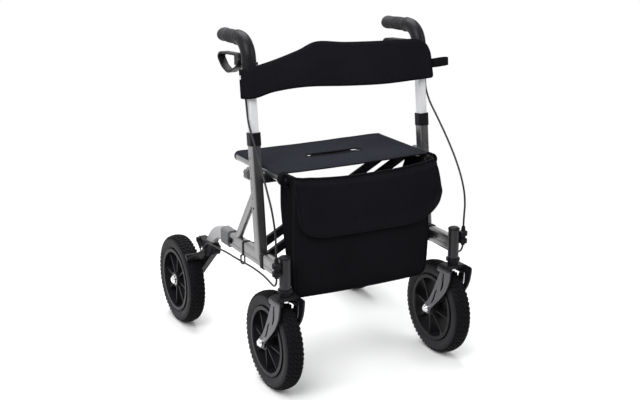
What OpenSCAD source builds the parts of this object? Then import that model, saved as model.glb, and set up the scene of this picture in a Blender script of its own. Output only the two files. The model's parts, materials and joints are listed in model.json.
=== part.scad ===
// All-terrain rollator: two side frames on four wheels, joined by a folding cross brace.
// Millimetres. Z is up, the front faces -Y, and the origin lies on the floor at the middle of the box.

/* [Overall] */
// Distance between the front and the rear axles
wheelbase = 520; // [500:2:560]
// Distance between the planes of the two side frames
frame_track = 484; // [470:2:520]
// Height of the lower rails' axis above the floor
rail_z = 318; // [314:1:326]
// Height of the seat tubes' axis above the floor
seat_tube_z = 530; // [515:1:540]
// Height of the grips' axis above the floor, handles at their middle setting
grip_z = 850; // [840:1:880]

/* [Wheels] */
// Outer diameter of the tyres
wheel_d = 250; // [236:1:252]
// Width of the tyres
tyre_w = 50; // [44:1:54]
// Thickness of the tyres' casing under the tread blocks' faces
tyre_wall = 9; // [7:0.5:11]
// Diameter of the rims' bead seats
rim_d = 168; // [156:1:172]
// Width of the rims between their flanges
rim_w = 37; // [32:1:40]
// Height of the rim flanges above the bead seat
flange_h = 4; // [2:0.5:6]
// Thickness of the rim flanges and of the rim barrel
rim_wall = 5; // [4:0.5:6]
// Spokes in each rim
spoke_count = 8; // [5:1:10]
// Thickness of a spoke
spoke_t = 3.6; // [3:0.2:6]
// Diameter of the hubs
hub_d = 40; // [36:1:46]
// Diameter of the wheel axles
axle_d = 12; // [10:0.5:14]
// Outer diameter of the wheel bearings
bearing_d = 28; // [24:1:32]
// Width of a wheel bearing
bearing_w = 8; // [6:1:10]
// Tread blocks on each shoulder of a tyre
tread_count = 30; // [20:1:36]
// Depth of the tread grooves
tread_depth = 4; // [2:0.5:5]
// Width of the tread grooves
tread_gap = 6; // [4:0.5:8]

/* [Casters] */
// Trail of the front wheels behind the swivel axis
caster_trail = 62; // [56:1:66]
// Outer diameter of the head tubes
head_d = 28; // [26:1:34]
// Wall of the head tubes
head_wall = 2; // [1.5:0.5:3]
// Reach of the head tubes below the rail axis
head_below = 39; // [36:1:42]
// Reach of the head tubes above the rail axis
head_above = 38; // [30:1:50]
// Height of the dust collars between head tube and fork
dust_collar_h = 17; // [14:1:18]
// Diameter of the swivel stems
stem_d = 14; // [12:0.5:16]
// Thickness of the fork crowns
crown_t = 9; // [8:0.5:10]
// Gap between a tyre and a fork arm
fork_gap = 5; // [4:0.5:8]
// Thickness of the fork arms
fork_arm_t = 5; // [4:0.5:8]

/* [Side frames] */
// Width of the lower rails
rail_w = 22; // [20:1:24]
// Height of the lower rails
rail_h = 38; // [34:1:42]
// Wall of the frame tubes
tube_wall = 2; // [1.5:0.5:3]
// Place of the rails' rear ends, behind the middle
rail_end_y = 2; // [-6:1:10]
// Bend radius of the rear tubes
rear_bend_r = 105; // [95:1:112]
// Place where the rear tubes start to bend
rear_bend_y = 30; // [28:1:36]
// Gap between a rear leg and its tyre
rear_gap = 8; // [6:0.5:12]
// Thickness of the rear legs
leg_t = 18; // [16:1:20]
// Place of the posts' feet, ahead of the middle
post_foot_y = -193; // [-200:1:-186]
// Backward lean of the posts
post_lean = 6.5; // [4:0.5:8]
// Length of the posts from the rail axis
post_len = 310; // [300:1:330]
// Depth of the posts, front to rear
post_depth = 28; // [26:0.5:32]
// Place of the struts' feet at the rail axis, ahead of the middle
strut_foot_y = -46; // [-52:1:-42]
// Distance of the struts' heads below the height knobs, along the posts
strut_drop = 33; // [28:1:50]
// Diameter of the struts
strut_d = 20; // [16:1:21]
// Height adjusting holes in each post
hole_count = 6; // [4:1:7]
// Pitch of the adjusting holes
hole_pitch = 25; // [20:1:26]
// Diameter of the adjusting holes
hole_d = 7; // [5:0.5:9]

/* [Handles] */
// Length of a handle tube inside its post
tube_insert = 163; // [140:1:170]
// Diameter of the handle elbows
elbow_d = 36; // [34:0.5:38]
// Bend radius of the handle elbows
elbow_bend_r = 50; // [46:1:56]
// Length of the elbows' straight sockets
socket_len = 70; // [60:1:76]
// Diameter of the spigots inside the grips
spigot_d = 22; // [18:0.5:24]
// Length of the grips
grip_len = 105; // [100:1:125]
// Droop of the grips towards their ends
grip_droop = 2.5; // [0:0.5:5]
// Largest diameter of the grips
grip_d = 35; // [32:0.5:37]
// Width of the brake levers
lever_w = 20; // [16:1:24]
// Thickness of the brake levers' bars
lever_t = 5; // [4:0.5:7]
// Diameter of the lever pivot pins
lever_pin_d = 6; // [5:0.5:7]

/* [Cross brace and seat] */
// How far the brace's lower pivots and the seat tubes stand inside the side frames' middles
brace_inset = 36; // [35:1:40]
// Height of the brace's lower pivots
brace_pivot_z = 308; // [304:1:316]
// Place of the cross pivot, front to rear
brace_mid_y = -124; // [-128:1:-120]
// Distance between the two bars of the outer cross arm
outer_arm_gap = 66; // [62:1:70]
// Distance between the two bars of the inner cross arm
inner_arm_gap = 30; // [28:1:32]
// Width of a cross bar, front to rear
bar_w = 12; // [10:0.5:13]
// Height of a cross bar
bar_h = 22; // [20:1:26]
// Diameter of the hinge tubes
hinge_d = 18; // [16:0.5:20]
// Diameter of the hinge pins and the cross bolt
hinge_pin_d = 10; // [8:0.5:11]
// Diameter of the seat tubes
seat_tube_d = 25; // [22:0.5:26]
// Place of the seat tubes' front ends
seat_front_y = -252; // [-262:1:-244]
// Place of the seat tubes' rear ends
seat_rear_y = 4; // [-4:1:12]
// Thickness of the seat cloth
seat_t = 2.4; // [2:0.1:3]
// Sag of the seat cloth at its middle
seat_sag = 2; // [0.5:0.5:10]
// Length of the pull slot in the seat
slot_len = 152; // [120:2:170]
// Width of the pull slot in the seat
slot_w = 32; // [24:1:36]

/* [Soft parts] */
// How far each side of the bag's foot stands inside the seat tube's middle
bag_foot_in = 12; // [9:1:30]
// How far each shoulder of the bag stands inside the seat tube's middle
bag_top_in = 4; // [2:1:11]
// Height of the bag's foot
bag_foot_z = 232; // [230:1:250]
// Depth of the bag near its foot
bag_depth = 100; // [90:1:102]
// How far the bag's mouth drops from its front edge to its back wall
bag_mouth_drop = 46; // [34:1:60]
// Place of the bag's front
bag_front_y = -291; // [-293:1:-288]
// Drop of the bag's flap
flap_drop = 148; // [120:1:170]
// Thickness of the flap
flap_t = 3; // [2:0.5:4]
// Thickness of the backrest band
backrest_t = 8; // [6:0.5:9]
// Height of the band's lower edge, along the posts from the rail axis
backrest_low = 403; // [398:1:410]
// Height of the band at its ends
backrest_end_h = 68; // [60:1:76]
// Height of the backrest at its right end
backrest_right_h = 78; // [70:1:84]
// Height of the band at its middle
backrest_mid_h = 113; // [100:1:120]
// Forward bow of the band at its middle
backrest_bow = 26; // [15:1:35]
// Width of the stick strap's webbing
strap_w = 20; // [16:1:25]

/* [Hidden] */
$fn = 64;
eps = 0.01;
// Running clearance of a pin in its bore, and the gap kept between bodies
run_gap = 0.05;
body_gap = 0.3;

SIDE_NODES = [
  "lower_rail", "head_tube", "post", "strut", "post_collar", "rail_collar", "rear_tube", "rear_leg",
  "head_fittings", "cable_guides", "brake_cable", "rear_axle", "fold_brackets", "handle_tube",
  "handle_elbow", "grip", "brake_lever", "height_knob", "brake_shoe", "caster_fork", "caster_bolts",
  "front_rim", "front_tyre", "rear_rim", "rear_tyre"
];

// Places that several pieces share
frame_x = frame_track / 2;
wheel_r = wheel_d / 2;
front_y = -wheelbase / 2;
rear_y = wheelbase / 2;
head_y = front_y - caster_trail;
head_low_z = rail_z - head_below;
head_high_z = rail_z + head_above;
crown_top_z = head_low_z - dust_collar_h;
crown_low_z = crown_top_z - crown_t;
leg_out = 3;
rear_x = frame_x + leg_out + rear_gap + tyre_w / 2;
fork_in = tyre_w / 2 + fork_gap;
fork_out = fork_in + fork_arm_t;
front_hub_len = 2 * fork_in - 2;
rear_hub_len = 2 * (tyre_w / 2 + rear_gap) - 22;
rim_r = rim_d / 2;

// Tube that slides inside the lower rail, and its bend towards the rear axle
rear_tube_w = rail_w - 2 * tube_wall - 2 * run_gap;
rear_tube_h = rail_h - 2 * tube_wall - 2 * run_gap;
bend_low_z = rail_z - rear_bend_r;
axle_dy = rear_y - rear_bend_y;
axle_dz = wheel_r - bend_low_z;
leg_len = sqrt(axle_dy * axle_dy + axle_dz * axle_dz - rear_bend_r * rear_bend_r);
rear_turn = atan2(rear_bend_r, leg_len) - atan2(axle_dz, axle_dy);
leg_y = rear_bend_y + rear_bend_r * sin(rear_turn);
leg_z = bend_low_z + rear_bend_r * cos(rear_turn);
rear_tube_seat = 44;

// Brake shoe: its bar hangs over the tread and swings on a pin behind it
shoe_bar_d = 12;
shoe_gap = 3;
shoe_u = leg_len - wheel_r - shoe_gap - shoe_bar_d / 2;
shoe_arm = 45;
shoe_pin_d = 8;
wing_reach = leg_out + rear_gap + tyre_w - 2;

// Posts and handles, in the leaning frame of a post
post_w = rail_w + 2 * tube_wall;
post_r = 6;
slide_gap = 0.3;
handle_w = post_w - 2 * tube_wall - 2 * slide_gap;
handle_d = post_depth - 2 * tube_wall - 2 * slide_gap;
handle_r = post_r - tube_wall;
collar_grip = 29;
collar_lip = 3;
collar_wall = 1.6;
handle_low = post_len - tube_insert;
elbow_top = (grip_z - rail_z - elbow_bend_r * (1 - sin(post_lean))) / cos(post_lean);
elbow_low = elbow_top - socket_len;
elbow_end_y = post_foot_y + elbow_top * sin(post_lean) + elbow_bend_r * cos(post_lean);
tube_seat = 60;
hole_drop = 59;
hole_first = post_len - hole_drop - (hole_count - 1) * hole_pitch;
knob_drop = 102;
knob_at = post_len - knob_drop;
knob_d = 32;
knob_t = 20;
knob_boss = 8;
knob_stem_d = 8;
lever_y = elbow_end_y - 10.5;
lever_z = grip_z - 44;
lug_w = 9.4;

// Cross brace
brace_span = frame_track - 2 * brace_inset;
brace_x = brace_span / 2;
brace_rise = seat_tube_z - brace_pivot_z;
arm_len = sqrt(brace_span * brace_span + brace_rise * brace_rise);
arm_angle = atan2(brace_rise, brace_span);
brace_mid_z = (seat_tube_z + brace_pivot_z) / 2;
front_ear_y = -216;
rear_ear_y = -70;
ear_t = 12;
saddle_w = 16;

// Brake cable from the elbow to the adjuster, under the rail and back to the rear leg
cable_d = 5;
cable_sides = 8;
cable_route = [for (p = [
  [14, -146, 736], [15, -149, 715], [15, -154, 690], [18, -168, 660], [21, -194, 630], [23, -222, 600],
  [25, -248, 570], [27, -271, 540], [28, -292, 510], [28, -310, 480], [28, -322, 450], [27, -328, 420],
  [26, -328, 395], [25, -328, 365], [25, -328, 335], [25, -328, 312], [24, -322, 296], [22, -306, 286],
  [18, -280, 284], [15, -250, 286], [14, -210, 288], [13, -160, 287], [13, -110, 284], [13, -60, 281],
  [13, -10, 279], [15, 40, 276], [17, 80, 274], [17, 108, 270], [17, 125, 260], [17, 140, 245]
]) p + [frame_x, 0, 0]];
cable_steps = 2;
adjuster_out = 25;
adjuster_x = frame_x + adjuster_out;
adjuster_y = -328;
adjuster_z = 337;
adjuster_h = 50;
adjuster_d = 22;
tie_y = -104;

// Seat cloth and bag
seat_wrap_r = seat_tube_d / 2 + body_gap + seat_t / 2;
bag_top_z = seat_tube_z - 4;
bag_foot_w = brace_span - 2 * bag_foot_in;
bag_top_w = brace_span - 2 * bag_top_in;
band_gap = 0.5;

function smooth(t) = t * t * (3 - 2 * t);
function mix(a, b, t) = a + (b - a) * t;
function bezier(p, t) = pow(1 - t, 3) * p[0] + 3 * t * pow(1 - t, 2) * p[1]
  + 3 * t * t * (1 - t) * p[2] + pow(t, 3) * p[3];
function unit(v) = v / norm(v);
function slope(path, i) = unit(path[min(i + 1, len(path) - 1)] - path[max(i - 1, 0)]);
function side_step(path, i, d) = path[i] + d * [-slope(path, i)[1], slope(path, i)[0]];
function reversed(list) = [for (i = [len(list) - 1:-1:0]) list[i]];
// Outline of a strip of half width h along an open path
function ribbon(path, h) = concat(
  [for (i = [0:len(path) - 1]) side_step(path, i, h)],
  reversed([for (i = [0:len(path) - 1]) side_step(path, i, -h)])
);
// Corner i of a closed outline, eased over a length cut on both sides, and a step sideways from a closed path
function rounded_corner(p, i, cut) = let (
    n = len(p), b = p[i], a = p[(i + n - 1) % n] - b, c = p[(i + 1) % n] - b,
    e = min(cut, 0.45 * norm(a), 0.45 * norm(c))
  ) [for (t = [0:0.2:1]) b + pow(1 - t, 2) * e * unit(a) + t * t * e * unit(c)];
function ring_step(p, i, d) = let (
    n = len(p), v = unit(p[(i + 1) % n] - p[(i + n - 1) % n])
  ) p[i] + d * [-v[1], v[0]];
// Smooth curve through points, each span cut into steps
function through(p, i, t) = let (
    a = p[max(i - 1, 0)], b = p[i], c = p[i + 1], d = p[min(i + 2, len(p) - 1)]
  ) 0.5 * (2 * b + (c - a) * t + (2 * a - 5 * b + 4 * c - d) * t * t + (3 * b - a - 3 * c + d) * t * t * t);
function spline(p, steps) = concat(
  [for (i = [0:len(p) - 2], k = [0:steps - 1]) through(p, i, k / steps)], [p[len(p) - 1]]
);

module on_side(s) {
  if (s < 0) mirror([1, 0, 0]) children();
  else children();
}
// Outline drawn in the Y-Z plane, thickened along X from x0
module side_plate(x0, t) {
  translate([x0, 0, 0]) rotate([90, 0, 90]) linear_extrude(t) children();
}
// Solid of revolution about the X axis, its outline drawn as [radius, x]
module turned_x() {
  rotate([0, 90, 0]) rotate_extrude($fn = 96) children();
}
module turned_y() {
  rotate([-90, 0, 0]) rotate_extrude($fn = 96) children();
}
module rod_x(x0, x1, d) {
  translate([x0, 0, 0]) rotate([0, 90, 0]) cylinder(h = x1 - x0, d = d);
}
module rod_y(y0, y1, d) {
  translate([0, y0, 0]) rotate([-90, 0, 0]) cylinder(h = y1 - y0, d = d);
}
module rounded_rect(w, h, r) {
  square([w - 2 * r, h], center = true);
  square([w, h - 2 * r], center = true);
  for (sx = [-1, 1], sy = [-1, 1]) translate([sx * (w / 2 - r), sy * (h / 2 - r)]) circle(r);
}
module tube_ring(w, h, r, wall) {
  difference() {
    rounded_rect(w, h, r);
    rounded_rect(w - 2 * wall, h - 2 * wall, r - wall);
  }
}
// Tube swept along points, with its ring turned so that no twist builds up
module swept_cord(route, d, sides) {
  rings = len(route);
  points = [for (i = [0:rings - 1]) let (
      t = unit(route[min(i + 1, rings - 1)] - route[max(i - 1, 0)]),
      a = unit(cross(t, [1, 0, 0])), b = cross(t, a)
    ) for (k = [0:sides - 1]) route[i] + d / 2 * (cos(360 * k / sides) * a + sin(360 * k / sides) * b)];
  walls = [for (i = [0:rings - 2], k = [0:sides - 1]) let (
      p = i * sides + k, q = i * sides + (k + 1) % sides
    ) each [[p, p + sides, q], [q, p + sides, q + sides]]];
  ends = [for (k = [1:sides - 2]) each [[0, k, k + 1],
    [(rings - 1) * sides, (rings - 1) * sides + k + 1, (rings - 1) * sides + k]]];
  polyhedron(points = points, faces = concat(walls, ends));
}

// Frames of reference: a post's foot, a swivel axis, and the start of a rear leg
module at_post() {
  translate([frame_x, post_foot_y, rail_z]) rotate([-post_lean, 0, 0]) children();
}
module at_head() {
  translate([frame_x, head_y, 0]) children();
}
module at_leg() {
  translate([frame_x, leg_y, leg_z]) rotate([-rear_turn, 0, 0]) children();
}
module at_front_wheel() {
  translate([frame_x, front_y, wheel_r]) children();
}
module at_rear_wheel() {
  translate([rear_x, rear_y, wheel_r]) children();
}

// Side frame
module rail_block() {
  translate([frame_x, rail_end_y, rail_z]) rotate([90, 0, 0])
    linear_extrude(rail_end_y - head_y) rounded_rect(rail_w, rail_h, 6);
}
module lower_rail(s) {
  groove = 1;
  color("#9a9ca0") on_side(s) difference() {
    rail_block();
    translate([frame_x, rail_end_y + eps, rail_z]) rotate([90, 0, 0])
      linear_extrude(rail_end_y - head_y + 2 * eps) rounded_rect(rail_w - 2 * tube_wall, rail_h - 2 * tube_wall, 4);
    at_head() translate([0, 0, head_low_z]) cylinder(h = head_below + head_above, d = head_d);
    for (side = [-1, 1])
      translate([frame_x + side * rail_w / 2, (rail_end_y + head_y) / 2, rail_z - 5])
        cube([2 * groove, rail_end_y - head_y, 2], center = true);
  }
}
module head_tube(s) {
  color("#4b4d50") on_side(s) at_head() translate([0, 0, head_low_z]) difference() {
    cylinder(h = head_below + head_above, d = head_d);
    translate([0, 0, -eps]) cylinder(h = head_below + head_above + 2 * eps, d = head_d - 2 * head_wall);
  }
}
module head_fittings(s) {
  bore = stem_d / 2 + run_gap;
  inside = head_d / 2 - head_wall;
  color("#1d1d1f") on_side(s) at_head() {
    translate([0, 0, head_low_z]) rotate_extrude() polygon([
      [bore, body_gap - dust_collar_h], [head_d / 2 - 0.5, body_gap - dust_collar_h], [head_d / 2 - 0.5, -9],
      [head_d / 2 + 4, -6], [head_d / 2 + 4, 0], [inside, 0], [inside, 16], [bore, 16]
    ]);
    translate([0, 0, head_high_z]) rotate_extrude() polygon([
      [bore, -16], [inside, -16], [inside, 0], [head_d / 2 + 1, 0], [head_d / 2 + 1, 3], [head_d / 2 - 3, 6],
      [0, 7], [0, 4], [bore, 4]
    ]);
  }
}
module post_block(grow = 0) {
  at_post() linear_extrude(post_len) rounded_rect(post_w + grow, post_depth + grow, post_r);
}
module post(s) {
  color("#6f7175") on_side(s) difference() {
    union() {
      at_post() linear_extrude(post_len) tube_ring(post_w, post_depth, post_r, tube_wall);
      at_post() translate([0, 0, knob_at]) rod_y(post_depth / 2 - tube_wall / 2, post_depth / 2 + knob_boss, 18);
    }
    rail_block();
    at_post() for (i = [0:hole_count - 1])
      translate([0, 0, hole_first + i * hole_pitch]) rod_x(0, post_w, hole_d);
    at_post() translate([0, 0, knob_at]) rod_y(0, post_depth, knob_stem_d + 2 * run_gap);
  }
}
module strut(s) {
  rise = (knob_at - strut_drop) * cos(post_lean);
  run = strut_foot_y - post_foot_y - rise * tan(post_lean);
  color("#8d8f93") on_side(s) difference() {
    translate([frame_x, strut_foot_y, rail_z]) rotate([atan2(run, rise), 0, 0]) difference() {
      cylinder(h = norm([run, rise]), d = strut_d);
      translate([0, 0, -eps]) cylinder(h = norm([run, rise]) + 2 * eps, d = strut_d - 2 * tube_wall);
    }
    rail_block();
    post_block();
  }
}
module post_collar(s) {
  color("#242426") on_side(s) at_post() difference() {
    translate([0, 0, post_len - collar_grip]) linear_extrude(collar_grip + collar_lip)
      rounded_rect(post_w + 2 * collar_wall, post_depth + 2 * collar_wall, post_r + collar_wall);
    translate([0, 0, post_len - collar_grip - eps]) linear_extrude(collar_grip + eps)
      rounded_rect(post_w, post_depth, post_r);
    translate([0, 0, post_len - eps]) linear_extrude(collar_lip + 2 * eps)
      rounded_rect(handle_w + 2 * slide_gap, handle_d + 2 * slide_gap, handle_r + slide_gap);
  }
}
module rail_collar(s) {
  front = 22;
  back = 23;
  wall = 3.5;
  color("#55575a") on_side(s) translate([frame_x, rail_end_y, rail_z]) rotate([90, 0, 0]) difference() {
    translate([0, 0, -back]) linear_extrude(front + back) rounded_rect(rail_w + 2 * wall, rail_h + 2 * wall, 9);
    linear_extrude(front + eps) rounded_rect(rail_w, rail_h, 6);
    translate([0, 0, -back - eps]) linear_extrude(back + 2 * eps) rounded_rect(rear_tube_w, rear_tube_h, 4);
  }
}
// Section of the bent tube, its round corners drawn as short flats
module rear_tube_profile(inset = 0) {
  corner = 5;
  r = corner - inset;
  polygon([for (q = [[1, 1, 0], [-1, 1, 90], [-1, -1, 180], [1, -1, 270]], a = [0:18:90])
    [q[0] * (rear_tube_w / 2 - corner), q[1] * (rear_tube_h / 2 - corner)] + r * [cos(q[2] + a), sin(q[2] + a)]]);
}
module rear_tube_run(inset, extra) {
  inside_rail = 40;
  translate([frame_x, rear_bend_y, rail_z]) rotate([90, 0, 0])
    linear_extrude(rear_bend_y - rail_end_y + inside_rail + extra) rear_tube_profile(inset);
  translate([frame_x, rear_bend_y, bend_low_z]) rotate([0, -90, 0])
    rotate_extrude(angle = rear_turn, $fn = 96) translate([rear_bend_r, 0]) rotate(90) rear_tube_profile(inset);
  at_leg() rotate([-90, 0, 0]) linear_extrude(rear_tube_seat + extra) rear_tube_profile(inset);
}
module rear_tube(s) {
  color("#c3c5c8") on_side(s) difference() {
    rear_tube_run(0, 0);
    rear_tube_run(tube_wall, 1);
  }
}
// Outlines of the rear leg, drawn as [along the leg, across it]
module leg_shank() {
  polygon([[10, -26], [34, -34], [52, -27], [leg_len - 40, -15], [leg_len, -18], [leg_len, 18],
    [leg_len - 40, 16], [70, 24], [30, 24]]);
  translate([leg_len, 0]) circle(d = hub_d - 2);
  translate([30, -22]) circle(14);
}
module brake_lug() {
  translate([shoe_u, shoe_arm]) circle(10);
  polygon([[shoe_u - 24, 20], [shoe_u + 18, 14], [shoe_u + 9, shoe_arm + 4], [shoe_u - 9, shoe_arm + 4]]);
}
module rear_leg(s) {
  sleeve = 4;
  shank_x = leg_out - leg_t;
  wing_v = -12;
  wing_t = 5;
  stop_x = 17;
  stop_u = 46;
  stop_v = -4;
  stop_len = 14;
  color("#1b1b1d") on_side(s) difference() {
    at_leg() {
      side_plate(shank_x, leg_t) leg_shank();
      side_plate(shank_x, leg_t) brake_lug();
      rotate([-90, 0, 0]) linear_extrude(rear_tube_seat + 22)
        rounded_rect(rear_tube_w + 2 * sleeve, rear_tube_h + 2 * sleeve, 7);
      translate([0, 0, wing_v]) linear_extrude(wing_t)
        polygon([[0, 30], [0, shoe_u + 6], [wing_reach, shoe_u + 6], [wing_reach, shoe_u - 4]]);
      translate([stop_x, stop_u, stop_v]) rod_y(0, stop_len, 2 * (stop_x - rear_tube_w / 2 - sleeve) + 3);
    }
    at_leg() rotate([-90, 0, 0]) translate([0, 0, -eps]) linear_extrude(rear_tube_seat + eps)
      rear_tube_profile();
    translate([0, leg_y - 60, leg_z - 16]) cube([2 * frame_x, 220, 120]);
    at_rear_wheel() rod_x(-60, 0, axle_d + 2 * run_gap);
    at_leg() translate([0, shoe_u, shoe_arm]) rod_x(-30, 30, shoe_pin_d + 2 * run_gap);
    at_leg() translate([stop_x, stop_u - 1, stop_v]) rod_y(0, stop_len + 2, cable_d + 2 * body_gap);
  }
}
module brake_shoe(s) {
  arm_x = leg_out + 1;
  arm_t = 7;
  color("#3a3b3d") on_side(s) at_leg() {
    side_plate(arm_x, arm_t) {
      translate([shoe_u, shoe_arm]) circle(8);
      translate([shoe_u - 5, 0]) square([10, shoe_arm]);
      translate([shoe_u, 0]) circle(d = shoe_bar_d);
    }
    translate([0, shoe_u, 0]) rod_x(arm_x + arm_t / 2, wing_reach, shoe_bar_d);
    translate([0, shoe_u, shoe_arm]) rod_x(leg_out - leg_t - 2, arm_x + arm_t / 2, shoe_pin_d);
    translate([0, shoe_u, shoe_arm]) rod_x(leg_out - leg_t - 5, leg_out - leg_t - body_gap, 14);
  }
}
// Cable adjuster beside the head tube, and the strap that ties the cable to the rail
module cable_guides(s) {
  strap_t = 1.6;
  arm_x = frame_x + head_d / 2;
  color("#161617") on_side(s) {
    translate([adjuster_x, adjuster_y, adjuster_z]) rotate_extrude() polygon([
      [cable_d / 2 + body_gap, -adjuster_h / 2], [5, -adjuster_h / 2], [6, 5 - adjuster_h / 2],
      [adjuster_d / 2, 6 - adjuster_h / 2], [adjuster_d / 2, 16 - adjuster_h / 2], [6.5, 18 - adjuster_h / 2],
      [6.5, 24 - adjuster_h / 2], [adjuster_d / 2, 26 - adjuster_h / 2], [adjuster_d / 2, 36 - adjuster_h / 2],
      [6, 38 - adjuster_h / 2], [4.5, adjuster_h / 2], [cable_d / 2 + body_gap, adjuster_h / 2]
    ]);
    difference() {
      translate([frame_x, head_y - 5, adjuster_z - 12]) cube([adjuster_x - frame_x, 8, 20]);
      at_head() cylinder(h = 500, d = head_d);
      translate([adjuster_x, adjuster_y, 0]) cylinder(h = 500, d = 12);
    }
    translate([frame_x, tie_y, rail_z]) rotate([90, 0, 0]) linear_extrude(7)
      tube_ring(rail_w + 2 * strap_t, rail_h + 2 * strap_t, 6 + strap_t, strap_t);
    difference() {
      translate([frame_x + rail_w / 2 + 1, tie_y, rail_z - rail_h / 2 - 8.5]) rotate([90, 0, 0])
        linear_extrude(7) difference() {
          rounded_rect(12, 26, 5.5);
          rounded_rect(9, 23, 4);
        }
      rail_block();
    }
  }
}
module brake_cable(s) {
  color("#2a2a2c") on_side(s) swept_cord(spline(cable_route, cable_steps), cable_d, cable_sides);
}

// Wheels, drawn about the X axis
module rim_outline() {
  barrel = rim_r - rim_wall;
  outer = rim_w / 2 + rim_wall;
  polygon([
    [barrel, -outer], [rim_r + flange_h, -outer], [rim_r + flange_h, 1 - rim_w / 2 - rim_wall / 2],
    [rim_r, -rim_w / 2], [rim_r, rim_w / 2],
    [rim_r + flange_h, rim_w / 2 + rim_wall / 2 - 1], [rim_r + flange_h, outer], [barrel, outer],
    [barrel + 1.5, rim_w / 2], [barrel + 1.5, -rim_w / 2]
  ]);
}
module wheel_rim(hub_len) {
  hub_r = hub_d / 2;
  spoke_in = hub_len / 2 - 6;
  spoke_out = rim_w / 2 - 3;
  phase = 8;
  difference() {
    union() {
      turned_x() rim_outline();
      rod_x(-hub_len / 2, hub_len / 2, hub_d);
      rod_x(-3, 3, hub_d + 24);
      for (i = [0:spoke_count - 1]) rotate([phase + 360 * i / spoke_count, 0, 0])
        translate([0, spoke_t / 2, 0]) rotate([90, 0, 0]) linear_extrude(spoke_t)
          polygon([[-spoke_in, hub_r - 3], [-spoke_out, rim_r - 2], [spoke_out, rim_r - 2], [spoke_in, hub_r - 3]]);
    }
    rod_x(-hub_len, hub_len, axle_d + 3);
    for (m = [-1, 1]) translate([m * hub_len / 2, 0, 0])
      rod_x(-bearing_w, bearing_w, bearing_d + 2 * run_gap);
  }
}
// Point of the tyre's section at an angle from its side, a depth under the surface
function tyre_side(a, depth) = [
  rim_r + flange_h + 9 + (wheel_r - depth - rim_r - flange_h - 9) * sign(sin(a)) * pow(abs(sin(a)), 0.8),
  (tyre_w / 2 - depth) * sign(cos(a)) * pow(abs(cos(a)), 0.7)
];
// Casing: open between its two beads, which sit on the rim
module tyre_outline() {
  bead = rim_w / 2;
  bead_t = 6;
  arc_step = 10;
  polygon(concat(
    [[rim_r, bead - bead_t], [rim_r, bead], [rim_r + flange_h, bead + rim_wall / 2 - 1]],
    [for (a = [-10:arc_step:190]) tyre_side(a, 0)],
    [[rim_r + flange_h, 1 - bead - rim_wall / 2], [rim_r, -bead], [rim_r, bead_t - bead]],
    [for (a = [190:-arc_step:-10]) tyre_side(a, tyre_wall)]
  ));
}
// Shoulder grooves cut across the tread, those of the two shoulders half a pitch apart
module wheel_tyre() {
  groove_in = 7;
  slant = 20;
  color("#232325") difference() {
    turned_x() tyre_outline();
    for (i = [0:tread_count - 1], m = [-1, 1])
      rotate([360 * (i + (m + 1) / 4) / tread_count, 0, 0]) translate([m * groove_in, 0, wheel_r - tread_depth])
        rotate([0, m * 16, m * slant]) translate([m < 0 ? -tyre_w : 0, -tread_gap / 2, 0])
          cube([tyre_w, tread_gap, 3 * tread_depth]);
  }
}
module axle_cap(d, h) {
  cylinder(h = h / 2, d = d);
  translate([0, 0, h / 2]) cylinder(h = h / 2, d1 = d, d2 = d * 0.6);
}
module bearing_rings(hub_len) {
  for (m = [-1, 1]) translate([m * (hub_len - bearing_w) / 2, 0, 0]) difference() {
    rod_x(-bearing_w / 2, bearing_w / 2, bearing_d);
    rod_x(-bearing_w, bearing_w, axle_d);
  }
}
module front_rim(s) {
  color("#2b2b2e") on_side(s) at_front_wheel() wheel_rim(front_hub_len);
}
module front_tyre(s) {
  on_side(s) at_front_wheel() wheel_tyre();
}
module rear_rim(s) {
  color("#2b2b2e") on_side(s) at_rear_wheel() wheel_rim(rear_hub_len);
}
module rear_tyre(s) {
  on_side(s) at_rear_wheel() wheel_tyre();
}
module rear_axle(s) {
  inner = frame_x + leg_out - leg_t - rear_x;
  spacer = leg_out + frame_x - rear_x;
  cap_h = 9;
  color("#c9cbce") on_side(s) at_rear_wheel() {
    rod_x(inner - 6, rear_hub_len / 2 + 1, axle_d);
    translate([inner, 0, 0]) rotate([0, -90, 0]) axle_cap(20, 9);
    difference() {
      rod_x(spacer, -rear_hub_len / 2 - body_gap, 22);
      rod_x(spacer - 1, 0, axle_d);
    }
    translate([rear_hub_len / 2 + body_gap, 0, 0]) rotate([0, 90, 0]) axle_cap(24, cap_h);
    bearing_rings(rear_hub_len);
  }
}

// Caster: fork arms swept along a curve from the crown to the axle, each with two wavy slots
arm_curve = [
  [head_y - 18, crown_top_z], [head_y - 16, crown_top_z - 49],
  [front_y - 40, wheel_r + 50], [front_y, wheel_r]
];
arm_top_half = 19.5;
arm_mid_half = 22.5;
arm_foot_half = 11;
arm_swell = 0.3;
function arm_half(t) = t < arm_swell
  ? mix(arm_top_half, arm_mid_half, t / arm_swell)
  : mix(arm_mid_half, arm_foot_half, smooth((t - arm_swell) / (1 - arm_swell)));
function arm_point(t, d) = let (
    p = bezier(arm_curve, t),
    v = unit(bezier(arm_curve, min(t + 0.01, 1)) - bezier(arm_curve, max(t - 0.01, 0)))
  ) p + d * [-v[1], v[0]];
function arm_outline(steps) = concat(
  [for (i = [0:steps]) arm_point(i / steps, arm_half(i / steps))],
  [for (i = [steps:-1:0]) arm_point(i / steps, -arm_half(i / steps))]
);
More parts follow.
